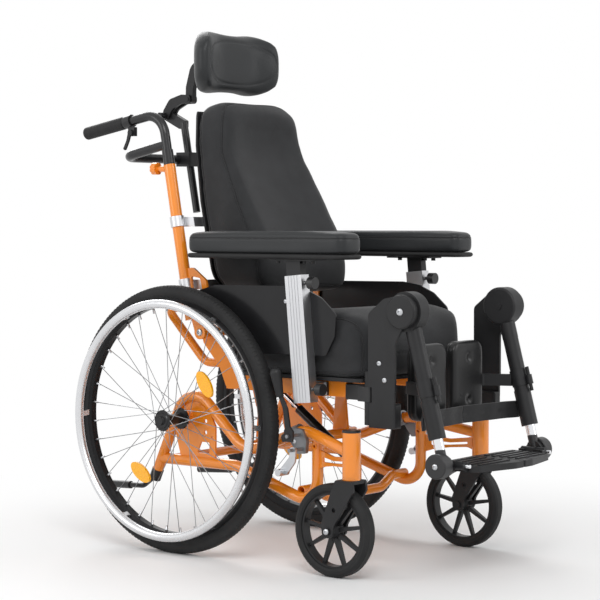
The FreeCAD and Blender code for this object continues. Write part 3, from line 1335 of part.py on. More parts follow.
def foot_tube():
    """Chromed tube that slides in the sleeve, with the foot joint's disc and the footplate's fork."""
    joint = point(LEG_X, FOOT_JOINT)
    start = leg_point(0.45)
    tube = rod(start, joint, FOOT_TUBE_R)
    tube = tube.cut(rod(start - leg_axis(), leg_point(0.93), FOOT_TUBE_R - 2))
    disc = x_rod(LEG_X + 2, LEG_X + 2 + FOOT_DISC_WIDTH, FOOT_JOINT, FOOT_DISC_R)
    disc = disc.makeFillet(3, [e for e in disc.Edges if e.Closed])
    cheek = x_rod(LEG_X - 8, LEG_X + 3, FOOT_JOINT, FOOT_DISC_R - 6)
    y = FOOT_JOINT[0]
    shoe = box((FLIP_X + 4, y - 16, FLIP_Z - 13), (LEG_X + 8, y + 8, FLIP_Z + 5))
    pin = Part.makeCylinder(FLIP_PIN_R, 72, Vector(FLIP_X, y - 52, FLIP_Z), Y_AXIS)
    knuckle = Part.makeCylinder(9, 24, Vector(FLIP_X, y - 16, FLIP_Z), Y_AXIS)
    return [fuse([tube, disc, cheek, shoe, pin, knuckle])]


def footplate():
    """Moulded footplate with a treaded top, on two knuckles about its flip-up pin."""
    top = FLIP_Z
    low = top - FOOTPLATE_THICK
    outer = FLIP_X - 11
    plan = ((FOOTPLATE_INNER, FOOTPLATE_REAR), (outer, FOOTPLATE_REAR - 6), (outer, FOOTPLATE_FRONT + 26),
            (FOOTPLATE_INNER + 30, FOOTPLATE_FRONT), (FOOTPLATE_INNER, FOOTPLATE_FRONT))
    plate = flat_plate(plan, low, top, radii=(4, 14, 22, 40, 4))
    pocket_plan = (
        (FOOTPLATE_INNER + 6, FOOTPLATE_REAR - 8), (outer - 8, FOOTPLATE_REAR - 14),
        (outer - 8, FOOTPLATE_FRONT + 34), (FOOTPLATE_INNER + 32, FOOTPLATE_FRONT + 8),
        (FOOTPLATE_INNER + 6, FOOTPLATE_FRONT + 8))
    pocket = flat_plate(pocket_plan, low - 1, low + 8, radii=(4, 8, 16, 30, 4))
    plate = plate.cut(pocket)
    rib = box((FOOTPLATE_INNER + 5, -719, low + 1), (outer - 5, -715, low + 9))
    treads = []
    for i in range(5):
        y = FOOTPLATE_REAR - 16 - 20 * i
        treads.append(box((FOOTPLATE_INNER + 14, y - 8, top - 0.5), (outer - 16, y, top + 2)))
    y = FOOT_JOINT[0]
    knuckles = []
    for start, length in ((y - 40, 23.5), (y + 8.5, 12)):
        knuckle = Part.makeCylinder(9, length, Vector(FLIP_X, start, FLIP_Z), Y_AXIS)
        arm = box((outer - 4, start, low + 2), (FLIP_X, start + length, FLIP_Z + 5))
        knuckles.append(fuse([knuckle, arm]))
    body = fuse([plate, rib] + treads + knuckles)
    return [body.cut(Part.makeCylinder(FLIP_PIN_R + RUNNING, 120, Vector(FLIP_X, y - 60, FLIP_Z), Y_AXIS))]


def calf_pad():
    """Moulded calf pad with two dimples, on a cross pin in its side."""
    w = CALF_WIDTH / 2
    h = CALF_HEIGHT / 2
    front = CALF_Y - CALF_THICK / 2
    low, high = CALF_Z - h, CALF_Z + h
    outline = ((CALF_X - w, low), (CALF_X + w, low), (CALF_X + w, high), (CALF_X - w, high))
    pad = front_plate(outline, front, front + CALF_THICK, radius=24)
    pad = pad.makeFillet(5, [e for e in pad.Edges if e.BoundBox.YMax < front + 1])
    dimples = [Part.makeSphere(14, Vector(CALF_X, front - 8, CALF_Z + dz)) for dz in (-46, 46)]
    pin_hole = x_rod(CALF_X + w - 16, CALF_X + w + 5, (CALF_Y, CALF_Z - 8), CALF_PIN_R + RUNNING)
    return [cut(pad, dimples + [pin_hole])]


def gas_spring(base, head, share, slack):
    """Cylinder with an eye at the base, and a rod with an eye that has some play at the head."""
    start = point(0, base)
    end = point(0, head)
    along = (end - start).normalize()
    length = (end - start).Length
    split = start + along * (length * share)
    bore = rod(start + along * 20, end, SPRING_ROD_R + RUNNING)
    eye = x_rod(-7, 7, base, 9)
    tube = rod(start, split, SPRING_R).cut(bore)
    tube = tube.cut(box((-20, start.y - 12, start.z - 12), (-7, start.y + 12, start.z + 12)))
    tube = tube.cut(box((7, start.y - 12, start.z - 12), (20, start.y + 12, start.z + 12)))
    cylinder = fuse([tube, eye]).cut(x_rod(-30, 30, base, SPRING_PIN_R + RUNNING))
    shaft = rod(start + along * (length * 0.35), end, SPRING_ROD_R)
    head_eye = x_rod(-7, 7, head, SPRING_PIN_R + slack + 3.5)
    piston = fuse([shaft, head_eye]).cut(x_rod(-30, 30, head, SPRING_PIN_R + slack))
    return cylinder, piston


def recline_spring_front():
    return (RECLINE_SPRING_SEAT[0] + 26, RECLINE_SPRING_SEAT[1])


def build_all():
    tilt_cylinder, tilt_rod = gas_spring(TILT_SPRING_BASE, TILT_SPRING_SEAT, 0.62, TILT_EYE_SLACK)
    front = recline_spring_front()
    recline_cylinder, recline_rod = gas_spring(front, RECLINE_SPRING_BACK, 0.62, RECLINE_EYE_SLACK)
    parts = {
        "base_cross_members": base_cross_members(),
        "tipping_levers": tipping_levers(),
        "brake_mounts": both_sides(brake_mount()),
        "seat_frame": seat_frame(),
        "seat_pan": seat_pan(),
        "seat_cushion": seat_cushion(),
        "side_panels": side_panels(),
        "armrest_sockets": both_sides(armrest_socket()),
        "tilt_spring_cylinder": [tilt_cylinder],
        "tilt_spring_rod": [tilt_rod],
        "back_frame": back_frame(),
        "back_clamps": back_clamps(),
        "back_shell": back_shell(),
        "back_cushion": back_cushion(),
        "recline_spring_cylinder": [beside(recline_cylinder)],
        "recline_spring_rod": [beside(recline_rod)],
        "push_handles": push_handles(),
        "hand_grips": hand_grips(),
        "headrest_post": headrest_post(),
        "headrest_lower_arm": lower_arm(),
        "headrest_upper_arm": upper_arm(),
        "headrest_pad": headrest_pad(),
    }
    sided = {
        "side_frame": [side_frame()],
        "brake_lever": [brake_lever()],
        "brake_shoe": [brake_shoe()],
        "rear_tyre": [rear_tyre()],
        "rear_rim": [rear_rim()],
        "rear_hub": rear_hub() + rear_spokes(),
        "pushrim": [pushrim()],
        "reflectors": reflectors(),
        "caster_fork": [caster_fork()],
        "caster_tyre": [caster_tyre()],
        "caster_wheel": [caster_wheel()],
        "release_lever": [release_lever()],
        "armrest_post": [armrest_post()],
        "armrest_pad": armrest_pad(),
        "legrest_hanger": hanger(),
        "leg_sleeve": leg_sleeve(),
        "foot_tube": foot_tube(),
        "footplate": footplate(),
        "calf_pad": calf_pad(),
    }
    for name, shapes in sided.items():
        for side in SIDES:
            parts[name + "_" + side] = [on_side(shape, side) for shape in shapes]
    return parts


def centre_shift(parts):
    """How far the model moves along Y to bring its middle over the origin."""
    whole = Part.makeCompound([shape for shapes in parts.values() for shape in shapes])
    return -(whole.BoundBox.YMin + whole.BoundBox.YMax) / 2


def write(parts, shift):
    os.makedirs("parts", exist_ok=True)
    for name, shapes in parts.items():
        node = Part.makeCompound(shapes) if len(shapes) > 1 else shapes[0]
        node = node.copy()
        node.translate(Vector(0, shift, 0))
        node.exportStep("parts/%s.step" % name)


PARTS = build_all()
SHIFT = centre_shift(PARTS)
write(PARTS, SHIFT)
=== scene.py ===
import json
import math

import bmesh
import bpy
import numpy as np
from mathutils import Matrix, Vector
from mathutils.bvhtree import BVHTree
from mathutils.kdtree import KDTree

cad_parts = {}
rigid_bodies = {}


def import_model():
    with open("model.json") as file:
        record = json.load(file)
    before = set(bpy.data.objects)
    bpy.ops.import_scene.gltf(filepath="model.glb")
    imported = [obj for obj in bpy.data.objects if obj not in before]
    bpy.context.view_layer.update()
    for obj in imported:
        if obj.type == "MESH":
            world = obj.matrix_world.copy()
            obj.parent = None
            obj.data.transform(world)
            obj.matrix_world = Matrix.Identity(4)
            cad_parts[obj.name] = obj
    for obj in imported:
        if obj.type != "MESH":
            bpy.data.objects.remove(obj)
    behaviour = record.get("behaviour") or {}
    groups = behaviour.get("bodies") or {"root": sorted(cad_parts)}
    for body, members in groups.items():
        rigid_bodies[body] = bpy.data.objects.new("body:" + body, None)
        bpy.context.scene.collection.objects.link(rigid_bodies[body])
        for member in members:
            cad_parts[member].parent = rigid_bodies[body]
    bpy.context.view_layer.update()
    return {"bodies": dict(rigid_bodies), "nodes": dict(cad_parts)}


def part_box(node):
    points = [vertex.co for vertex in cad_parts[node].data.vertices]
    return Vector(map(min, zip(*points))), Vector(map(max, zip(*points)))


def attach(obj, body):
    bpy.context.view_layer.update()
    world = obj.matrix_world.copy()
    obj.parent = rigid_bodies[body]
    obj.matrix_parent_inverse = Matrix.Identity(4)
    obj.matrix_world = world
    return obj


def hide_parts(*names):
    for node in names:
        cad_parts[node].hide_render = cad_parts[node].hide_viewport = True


# A tilt-in-space wheelchair: black padded seat unit on a gloss orange tube frame.
# Metres, +X is the occupant's left, the chair faces -Y, +Z is up, the floor is Z = 0.

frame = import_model()
SIDES = ("left", "right")


def middle_of(node):
    low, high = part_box(node)
    return (Vector(low) + Vector(high)) / 2


WHEEL = middle_of("rear_tyre_left")
AXLE_Y = WHEEL.y
AXLE_Z = WHEEL.z


def at(x, y, z):
    """A point given in millimetres from the rear axle's place on the floor."""
    return Vector((x / 1000, AXLE_Y + y / 1000, z / 1000))


def sign_of(side):
    return 1 if side == "left" else -1


# Materials

DARK = 0.05
DARK_SPECULAR = 0.28

def new_material(name):
    material = bpy.data.materials.new(name)
    material.use_nodes = True
    tree = material.node_tree
    return material, tree, tree.nodes["Principled BSDF"]


def add_node(tree, kind, **values):
    node = tree.nodes.new(kind)
    for key, value in values.items():
        if key.startswith("in_"):
            node.inputs[int(key[3:])].default_value = value
        else:
            setattr(node, key, value)
    return node


def place(tree):
    return add_node(tree, "ShaderNodeTexCoord").outputs["Object"]


def noise(tree, scale, detail=3.0, rough=0.6, stretch=None):
    source = place(tree)
    if stretch:
        mapping = add_node(tree, "ShaderNodeMapping")
        mapping.inputs["Scale"].default_value = stretch
        tree.links.new(source, mapping.inputs["Vector"])
        source = mapping.outputs["Vector"]
    texture = add_node(tree, "ShaderNodeTexNoise")
    texture.inputs["Scale"].default_value = scale
    texture.inputs["Detail"].default_value = detail
    texture.inputs["Roughness"].default_value = rough
    tree.links.new(source, texture.inputs["Vector"])
    return texture.outputs["Fac"]


def ramp(tree, factor, stops):
    node = add_node(tree, "ShaderNodeValToRGB")
    elements = node.color_ramp.elements
    while len(elements) < len(stops):
        elements.new(0.5)
    for element, (position, colour) in zip(elements, stops):
        element.position = position
        element.color = (*colour, 1) if len(colour) == 3 else colour
    tree.links.new(factor, node.inputs["Fac"])
    return node.outputs["Color"]


def bump(tree, shader, height, strength, distance):
    node = add_node(tree, "ShaderNodeBump")
    node.inputs["Strength"].default_value = strength
    node.inputs["Distance"].default_value = distance
    tree.links.new(height, node.inputs["Height"])
    previous = shader.inputs["Normal"].links
    if previous:
        tree.links.new(previous[0].from_socket, node.inputs["Normal"])
    tree.links.new(node.outputs["Normal"], shader.inputs["Normal"])


def remap(tree, value, low, high):
    node = add_node(tree, "ShaderNodeMapRange")
    node.inputs["To Min"].default_value = low
    node.inputs["To Max"].default_value = high
    tree.links.new(value, node.inputs["Value"])
    return node.outputs["Result"]


def shade(colour, factor):
    return tuple(min(1.0, channel * factor) for channel in colour)


def solid(name, colour, roughness, metallic=0.0, vary=0.12, grain=900.0, grain_depth=0.00006, coat=0.0,
          **sockets):
    """A finish with slow colour and gloss variation and a fine grain in its surface."""
    material, tree, shader = new_material(name)
    slow = noise(tree, 14.0, 4.0)
    tree.links.new(ramp(tree, slow, ((0.25, shade(colour, 1 - vary)), (0.75, shade(colour, 1 + vary)))),
                   shader.inputs["Base Color"])
    tree.links.new(remap(tree, noise(tree, 45.0, 5.0), roughness * 0.82, min(1, roughness * 1.18)),
                   shader.inputs["Roughness"])
    shader.inputs["Metallic"].default_value = metallic
    shader.inputs["Coat Weight"].default_value = coat
    if max(colour) < DARK:
        shader.inputs["Specular IOR Level"].default_value = DARK_SPECULAR
    for key, value in sockets.items():
        shader.inputs[key.replace("_", " ")].default_value = value
    bump(tree, shader, noise(tree, grain, 2.0), 0.35, grain_depth)
    return material


def brushed(name, colour, roughness, stretch):
    """Metal with fine drawn lines along one direction."""
    material, tree, shader = new_material(name)
    lines = noise(tree, 60.0, 6.0, 0.7, stretch)
    tree.links.new(ramp(tree, lines, ((0.3, shade(colour, 0.86)), (0.7, shade(colour, 1.08)))),
                   shader.inputs["Base Color"])
    tree.links.new(remap(tree, lines, roughness * 0.75, roughness * 1.3), shader.inputs["Roughness"])
    shader.inputs["Metallic"].default_value = 1.0
    bump(tree, shader, lines, 0.2, 0.00005)
    return material


def woven(name, colour, pitch=0.0011):
    """Textile with a fine crossed weave, soft sheen and slight cloudiness."""
    material, tree, shader = new_material(name)
    cloudy = noise(tree, 22.0, 5.0)
    tree.links.new(ramp(tree, cloudy, ((0.3, shade(colour, 0.8)), (0.7, shade(colour, 1.25)))),
                   shader.inputs["Base Color"])
    shader.inputs["Roughness"].default_value = 0.78
    shader.inputs["Sheen Weight"].default_value = 0.22
    shader.inputs["Sheen Roughness"].default_value = 0.45
    shader.inputs["Specular IOR Level"].default_value = 0.32
    split = add_node(tree, "ShaderNodeSeparateXYZ")
    tree.links.new(place(tree), split.inputs[0])
    total = None
    for axis in range(3):
        wave = add_node(tree, "ShaderNodeMath", operation="MULTIPLY")
        wave.inputs[1].default_value = 2 * math.pi / pitch
        tree.links.new(split.outputs[axis], wave.inputs[0])
        sine = add_node(tree, "ShaderNodeMath", operation="SINE")
        tree.links.new(wave.outputs[0], sine.inputs[0])
        if total is None:
            total = sine.outputs[0]
            continue
        both = add_node(tree, "ShaderNodeMath", operation="ADD")
        tree.links.new(total, both.inputs[0])
        tree.links.new(sine.outputs[0], both.inputs[1])
        total = both.outputs[0]
    bump(tree, shader, total, 0.3, 0.00010)
    bump(tree, shader, noise(tree, 70.0, 4.0), 0.18, 0.0012)
    return material


def less_than(tree, value, limit):
    node = add_node(tree, "ShaderNodeMath", operation="LESS_THAN")
    node.inputs[1].default_value = limit
    tree.links.new(value, node.inputs[0])
    return node.outputs[0]


def coordinate(tree, axis):
    split = add_node(tree, "ShaderNodeSeparateXYZ")
    tree.links.new(place(tree), split.inputs[0])
    return split.outputs[axis]


def axle_distance(tree, y, z):
    """Distance of a surface point from a line that runs along X."""
    shift = add_node(tree, "ShaderNodeVectorMath", operation="SUBTRACT")
    shift.inputs[1].default_value = (0, y, z)
    tree.links.new(place(tree), shift.inputs[0])
    flat = add_node(tree, "ShaderNodeVectorMath", operation="MULTIPLY")
    flat.inputs[1].default_value = (0, 1, 1)
    tree.links.new(shift.outputs[0], flat.inputs[0])
    length = add_node(tree, "ShaderNodeVectorMath", operation="LENGTH")
    tree.links.new(flat.outputs[0], length.inputs[0])
    return length.outputs["Value"]


def lean(tree):
    """How far a point lies behind the leaning middle plane of the armrest sockets."""
    shift = add_node(tree, "ShaderNodeVectorMath", operation="SUBTRACT")
    shift.inputs[1].default_value = (0, AXLE_Y - 0.368, 0.364)
    tree.links.new(place(tree), shift.inputs[0])
    dot = add_node(tree, "ShaderNodeVectorMath", operation="DOT_PRODUCT")
    dot.inputs[1].default_value = (0, 0.99553, -0.09447)
    tree.links.new(shift.outputs[0], dot.inputs[0])
    return dot.outputs["Value"]


def two_finishes(name, first, second, factor_of):
    """One material that changes from the first finish to the second where the factor says so."""
    material, tree, shader = new_material(name)
    factor = factor_of(tree)
    for socket, low, high in (
            ("Base Color", first[0], second[0]), ("Roughness", first[1], second[1]),
            ("Metallic", first[2], second[2])):
        if socket == "Base Color":
            mix = add_node(tree, "ShaderNodeMix", data_type="RGBA")
            mix.inputs[6].default_value = (*low, 1)
            mix.inputs[7].default_value = (*high, 1)
            result = mix.outputs[2]
        else:
            mix = add_node(tree, "ShaderNodeMix", data_type="FLOAT")
            mix.inputs[2].default_value = low
            mix.inputs[3].default_value = high
            result = mix.outputs[0]
        tree.links.new(factor, mix.inputs[0])
        tree.links.new(result, shader.inputs[socket])
    bump(tree, shader, noise(tree, 700.0, 2.0), 0.3, 0.00005)
    return material


ORANGE = (0.87, 0.255, 0.012)
BLACK = (0.012, 0.012, 0.013)
STEEL = (0.55, 0.56, 0.58)

M = {
    "orange": solid("gloss_orange", ORANGE, 0.24, vary=0.05, grain=260, grain_depth=0.00012, coat=0.6),
    "black_paint": solid("satin_black_paint", (0.014, 0.014, 0.015), 0.34, vary=0.2, coat=0.25),
    "casting": solid("grey_casting", (0.23, 0.235, 0.245), 0.42, metallic=0.7, grain=500, grain_depth=0.0002),
    "plastic": solid("moulded_black", (0.016, 0.016, 0.017), 0.42, vary=0.2, grain=1400, grain_depth=0.0001),
    "gloss": solid("smooth_black", BLACK, 0.2, vary=0.15, grain=300, grain_depth=0.00003),
    "rubber": solid("black_rubber", (0.014, 0.014, 0.0145), 0.62, vary=0.25, grain=1100, grain_depth=0.0002),
    "tyre": solid("tyre_rubber", (0.017, 0.017, 0.0175), 0.7, vary=0.3, grain=800, grain_depth=0.0002),
    "rim": solid("black_rim", (0.012, 0.012, 0.013), 0.3, metallic=0.4, vary=0.15),
    "silver": brushed("satin_silver", (0.66, 0.665, 0.68), 0.3, (1, 1, 0.06)),
    "pushrim": solid("silver_pushrim", (0.70, 0.705, 0.72), 0.27, metallic=0.9, vary=0.04, grain=120),
    "chrome": solid("bright_chrome", (0.80, 0.81, 0.83), 0.08, metallic=1.0, vary=0.03, grain=60,
                    grain_depth=0.00002),
    "steel": solid("bright_steel", STEEL, 0.3, metallic=1.0, vary=0.08),
    "fabric": woven("black_textile", (0.017, 0.0175, 0.019)),
    "piping": woven("black_piping", (0.011, 0.011, 0.012), 0.0009),
    "webbing": woven("black_webbing", (0.012, 0.012, 0.013), 0.0022),
    "vinyl": solid("black_coated_cloth", (0.018, 0.0195, 0.021), 0.42, vary=0.12, grain=1300,
                   grain_depth=0.00022, Sheen_Weight=0.06),
    "skin": solid("moulded_foam_skin", (0.013, 0.013, 0.0135), 0.3, vary=0.2, grain=900, grain_depth=0.00016),
    "thread": woven("black_thread", (0.03, 0.03, 0.031), 0.0012),
    "foot": two_finishes(
        "chrome_and_black_disc", ((0.80, 0.81, 0.83), 0.1, 1.0), (BLACK, 0.4, 0.0),
        lambda tree: less_than(tree, axle_distance(tree, AXLE_Y - 0.697, 0.250), 0.0335)),
    "sockets": two_finishes(
        "silver_and_black_knobs", ((0.60, 0.605, 0.62), 0.3, 0.95), (BLACK, 0.42, 0.0),
        lambda tree: less_than(tree, lean(tree), -0.0232)),
    "hub": two_finishes(
        "hub_and_spokes", ((0.30, 0.305, 0.315), 0.32, 0.9), (BLACK, 0.32, 0.3),
        lambda tree: less_than(tree, axle_distance(tree, AXLE_Y, AXLE_Z), 0.0245)),
    "seat_frame": two_finishes(
        "orange_and_black", (ORANGE, 0.26, 0.0), (BLACK, 0.4, 0.0),
        lambda tree: less_than(tree, coordinate(tree, 1), AXLE_Y - 0.4371)),
}


def reflector_material():
    """Amber lens with a fine prism pattern in it."""
    material, tree, shader = new_material("amber_prism")
    shader.inputs["Roughness"].default_value = 0.16
    shader.inputs["Coat Weight"].default_value = 0.5
    cells = add_node(tree, "ShaderNodeTexVoronoi")
    cells.inputs["Scale"].default_value = 420.0
    tree.links.new(place(tree), cells.inputs["Vector"])
    amber = ramp(tree, cells.outputs["Distance"], ((0.0, (1.0, 0.60, 0.01)), (0.6, (0.95, 0.40, 0.0))))
    tree.links.new(amber, shader.inputs["Base Color"])
    bump(tree, shader, cells.outputs["Distance"], 0.5, 0.0006)
    return material


M["amber"] = reflector_material()

FINISH = {
    "side_frame": "orange", "base_cross_members": "orange", "brake_mounts": "casting",
    "tipping_levers": "black_paint", "brake_lever": "plastic", "brake_shoe": "steel",
    "rear_tyre": "tyre", "rear_rim": "rim", "rear_hub": "hub", "pushrim": "pushrim",
    "reflectors": "amber", "caster_fork": "plastic", "caster_tyre": "rubber", "caster_wheel": "plastic",
    "seat_frame": "seat_frame", "seat_pan": "plastic", "seat_cushion": "fabric", "side_panels": "gloss",
    "armrest_sockets": "sockets", "armrest_post": "plastic", "armrest_pad": "fabric",
    "tilt_spring_cylinder": "black_paint", "tilt_spring_rod": "chrome",
    "recline_spring_cylinder": "black_paint", "recline_spring_rod": "chrome",
    "back_frame": "orange", "back_clamps": "silver", "back_shell": "plastic", "back_cushion": "fabric",
    "push_handles": "black_paint", "hand_grips": "rubber", "release_lever": "plastic",
    "headrest_post": "black_paint", "headrest_lower_arm": "plastic", "headrest_upper_arm": "plastic",
    "headrest_pad": "fabric", "legrest_hanger": "plastic", "leg_sleeve": "plastic", "foot_tube": "foot",
    "footplate": "plastic", "calf_pad": "plastic",
}


def base_name(node):
    for side in SIDES:
        if node.endswith("_" + side):
            return node[: -len(side) - 1]
    return node


for node, piece in frame["nodes"].items():
    for slot in piece.material_slots:
        slot.link = "OBJECT"
        slot.material = M[FINISH[base_name(node)]]


# Soft pieces

def solid_mesh(node, wanted):
    """A closed bmesh of the solids of a node whose middle passes the test."""
    bm = bmesh.new()
    bm.from_mesh(frame["nodes"][node].data)
    bmesh.ops.remove_doubles(bm, verts=bm.verts, dist=2e-6)
    bm.verts.ensure_lookup_table()
    seen = set()
    drop = []
    for first in bm.verts:
        if first in seen:
            continue
        group = []
        stack = [first]
        seen.add(first)
        while stack:
            vertex = stack.pop()
            group.append(vertex)
            for edge in vertex.link_edges:
                other = edge.other_vert(vertex)
                if other not in seen:
                    seen.add(other)
                    stack.append(other)
        low = Vector([min(v.co[i] for v in group) for i in range(3)])
        high = Vector([max(v.co[i] for v in group) for i in range(3)])
        if not wanted((low + high) / 2, high - low):
            drop.extend(group)
    bmesh.ops.delete(bm, geom=drop, context="VERTS")
    return bm


def piece_from(name, bm, material, smooth=True):
    data = bpy.data.meshes.new(name)
    bmesh.ops.recalc_face_normals(bm, faces=bm.faces)
    bm.to_mesh(data)
    bm.free()
    piece = bpy.data.objects.new(name, data)
    bpy.context.collection.objects.link(piece)
    for polygon in data.polygons:
        polygon.use_smooth = smooth
    data.materials.append(material)
    return piece


def evaluated_mesh(piece):
    graph = bpy.context.evaluated_depsgraph_get()
    return bpy.data.meshes.new_from_object(piece.evaluated_get(graph))


def coordinates(mesh):
    values = np.zeros(len(mesh.vertices) * 3)
    mesh.vertices.foreach_get("co", values)
    return values.reshape(-1, 3)


def voxel_remesh(piece, size):
    modifier = piece.modifiers.new("remesh", "REMESH")
    modifier.mode = "VOXEL"
    modifier.voxel_size = size
    modifier.use_smooth_shade = True
    mesh = evaluated_mesh(piece)
    piece.modifiers.clear()
    old = piece.data
    piece.data = mesh
    bpy.data.meshes.remove(old)


def relax(piece, rounds, strength=0.5):
    """Rounds the form off by moving every point towards its neighbours' middle."""
    mesh = piece.data
    places = coordinates(mesh)
    edges = np.zeros(len(mesh.edges) * 2, dtype=int)
    mesh.edges.foreach_get("vertices", edges)
    a, b = edges.reshape(-1, 2).T
    count = np.bincount(np.concatenate((a, b)), minlength=len(places)).reshape(-1, 1)
    for _ in range(rounds):
        total = np.zeros_like(places)
        np.add.at(total, a, places[b])
        np.add.at(total, b, places[a])
        places += strength * (total / count - places)
    mesh.vertices.foreach_set("co", places.ravel())
    mesh.update()


def even_out(mesh, values, rounds):
    """Averages a value per point with its neighbours, which takes buckles out of the blown-up pad."""
    ends = np.empty(len(mesh.edges) * 2, dtype=np.int64)
    mesh.edges.foreach_get("vertices", ends)
    first, second = ends[0::2], ends[1::2]
    count = len(mesh.vertices)
    degree = np.bincount(ends, minlength=count).reshape(-1, 1)
    for _ in range(rounds):
        total = np.stack([
            np.bincount(first, weights=values[second, axis], minlength=count)
            + np.bincount(second, weights=values[first, axis], minlength=count)
            for axis in range(3)], axis=1)
        values = (values + total / np.maximum(degree, 1)) / 2
    return values


def inflate(piece, pressure, cap, hold=None, frames=20):
    """Blows the pad up as cloth, and keeps each point within cap metres, times hold, of where it was."""
    before = coordinates(piece.data)
    cloth = piece.modifiers.new("cloth", "CLOTH")
    cloth.settings.use_pressure = True
    cloth.settings.uniform_pressure_force = pressure
    cloth.settings.effector_weights.gravity = 0
    cloth.settings.quality = 4
    cloth.point_cache.frame_start = 1
    cloth.point_cache.frame_end = frames
    scene = bpy.context.scene
    for number in range(1, frames + 1):
        scene.frame_set(number)
    mesh = evaluated_mesh(piece)
    after = coordinates(mesh)
    bpy.data.meshes.remove(mesh)
    piece.modifiers.clear()
    scene.frame_set(1)
    moved = after - before
    moved = even_out(piece.data, moved, 90)
    length = np.maximum(np.linalg.norm(moved, axis=1, keepdims=True), 1e-9)
    moved *= np.minimum(1, cap / length)
    if hold is not None:
        moved *= np.array([hold(Vector(point)) for point in before]).reshape(-1, 1)
    piece.data.vertices.foreach_set("co", (before + moved).ravel())
    piece.data.update()


def subdivide(piece, levels=1):
    modifier = piece.modifiers.new("subdivision", "SUBSURF")
    modifier.levels = levels
    modifier.render_levels = levels
    mesh = evaluated_mesh(piece)
    piece.modifiers.clear()
    old = piece.data
    piece.data = mesh
    bpy.data.meshes.remove(old)


def surface_of(piece):
    bm = bmesh.new()
    bm.from_mesh(piece.data)
    tree = BVHTree.FromBMesh(bm)
    bm.free()
    return tree


def resample(points, step, closed):
    """Points at even steps along a line of points."""
    line = list(points) + ([points[0]] if closed else [])
    lengths = [0.0]
    for first, second in zip(line, line[1:]):
        lengths.append(lengths[-1] + (second - first).length)
    total = lengths[-1]
    count = max(3, round(total / step))
    result = []
    j = 0
    for i in range(count if closed else count + 1):
        goal = total * i / count
        while j < len(lengths) - 2 and lengths[j + 1] < goal:
            j += 1
        span = max(lengths[j + 1] - lengths[j], 1e-9)
        result.append(line[j].lerp(line[j + 1], (goal - lengths[j]) / span))
    return result


def seam_line(piece, points, step=0.004, closed=True):
    """The line on the pad's surface under a loop of points, with the surface's normals."""
    tree = surface_of(piece)
    found = [tree.find_nearest(point) for point in resample(points, step, closed)]
    places = [hit[0] for hit in found]
    normals = [hit[1] for hit in found]
    for _ in range(3):
        count = len(places)
        places = [
            places[i] if not closed and i in (0, count - 1)
            else (places[i - 1] + places[i] * 2 + places[(i + 1) % count]) / 4
            for i in range(count)
        ]
    return places, normals


def normals_of(mesh):
    values = np.zeros(len(mesh.vertices) * 3)
    mesh.vertices.foreach_get("normal", values)
    return values.reshape(-1, 3)


def groove(piece, lines, depth, width):
    """Draws the surface in along sewn lines."""
    points = [point for line in lines for point in line]
    tree = KDTree(len(points))
    for i, point in enumerate(points):
        tree.insert(point, i)
    tree.balance()
    mesh = piece.data
    places = coordinates(mesh)
    distance = np.array([tree.find(place)[2] for place in places])
    places -= normals_of(mesh) * (depth * np.exp(-(distance / width) ** 2)).reshape(-1, 1)
    mesh.vertices.foreach_set("co", places.ravel())
    mesh.update()


def tube_along(bm, places, radius, closed=True, sides=7):
    """A round bead along a line of points."""
    count = len(places)
    rings = []
    for i, place in enumerate(places):
        behind = places[i - 1] if closed or i > 0 else places[i]
        ahead = places[(i + 1) % count] if closed or i < count - 1 else places[i]
        along = (ahead - behind).normalized()
        side = along.cross(Vector((0.31, 0.17, 0.93)))
        if side.length < 0.1:
            side = along.cross(Vector((1, 0, 0)))
        side.normalize()
        up = along.cross(side)
        rings.append([
            bm.verts.new(place + (side * math.cos(t) + up * math.sin(t)) * radius)
            for t in (2 * math.pi * k / sides for k in range(sides))
        ])
    for i in range(count if closed else count - 1):
        first, second = rings[i], rings[(i + 1) % count]
        shift = min(range(sides), key=lambda s: (second[s].co - first[0].co).length)
        for k in range(sides):
            after = (k + 1) % sides
            bm.faces.new((first[k], first[after], second[(after + shift) % sides], second[(k + shift) % sides]))
    if not closed:
        bm.faces.new(rings[0][::-1])
        bm.faces.new(rings[-1])


def welt(name, lines, radius, body, material):
    bm = bmesh.new()
    for places, normals in lines:
        tube_along(bm, [place + normal * radius * 0.15 for place, normal in zip(places, normals)], radius)
    piece = piece_from(name, bm, material)
    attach(piece, body)
    return piece


def stitches(name, lines, body, material, pitch=0.0046):
    """Short raised threads beside a seam."""
    bm = bmesh.new()
    for tree, places, closed, offset in lines:
        even = resample(places, pitch, closed)
        count = len(even)
        for i, place in enumerate(even):
            if not closed and i == count - 1:
                continue
            along = (even[(i + 1) % count] - place).normalized()
            normal = tree.find_nearest(place)[1]
            side = along.cross(normal).normalized()
            spot, up = tree.find_nearest(place + side * offset)[:2]
            start = spot - along * pitch * 0.32
            end = spot + along * pitch * 0.32
            across = along.cross(up).normalized() * 0.00045
            lift = up * 0.00042
            ring = [start + across, start - across, end - across, end + across]
            low = [bm.verts.new(point - up * 0.0004) for point in ring]
            high = [bm.verts.new(point * 0.86 + (start + end) / 2 * 0.14 + lift) for point in ring]
            bm.faces.new(high)
            for k in range(4):
                bm.faces.new((low[k], low[(k + 1) % 4], high[(k + 1) % 4], high[k]))
            bm.faces.new(low[::-1])
    piece = piece_from(name, bm, material)
    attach(piece, body)
    return piece


# Cushions and pads

def finish_pad(piece, body, node):
    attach(piece, body)
    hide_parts(node)


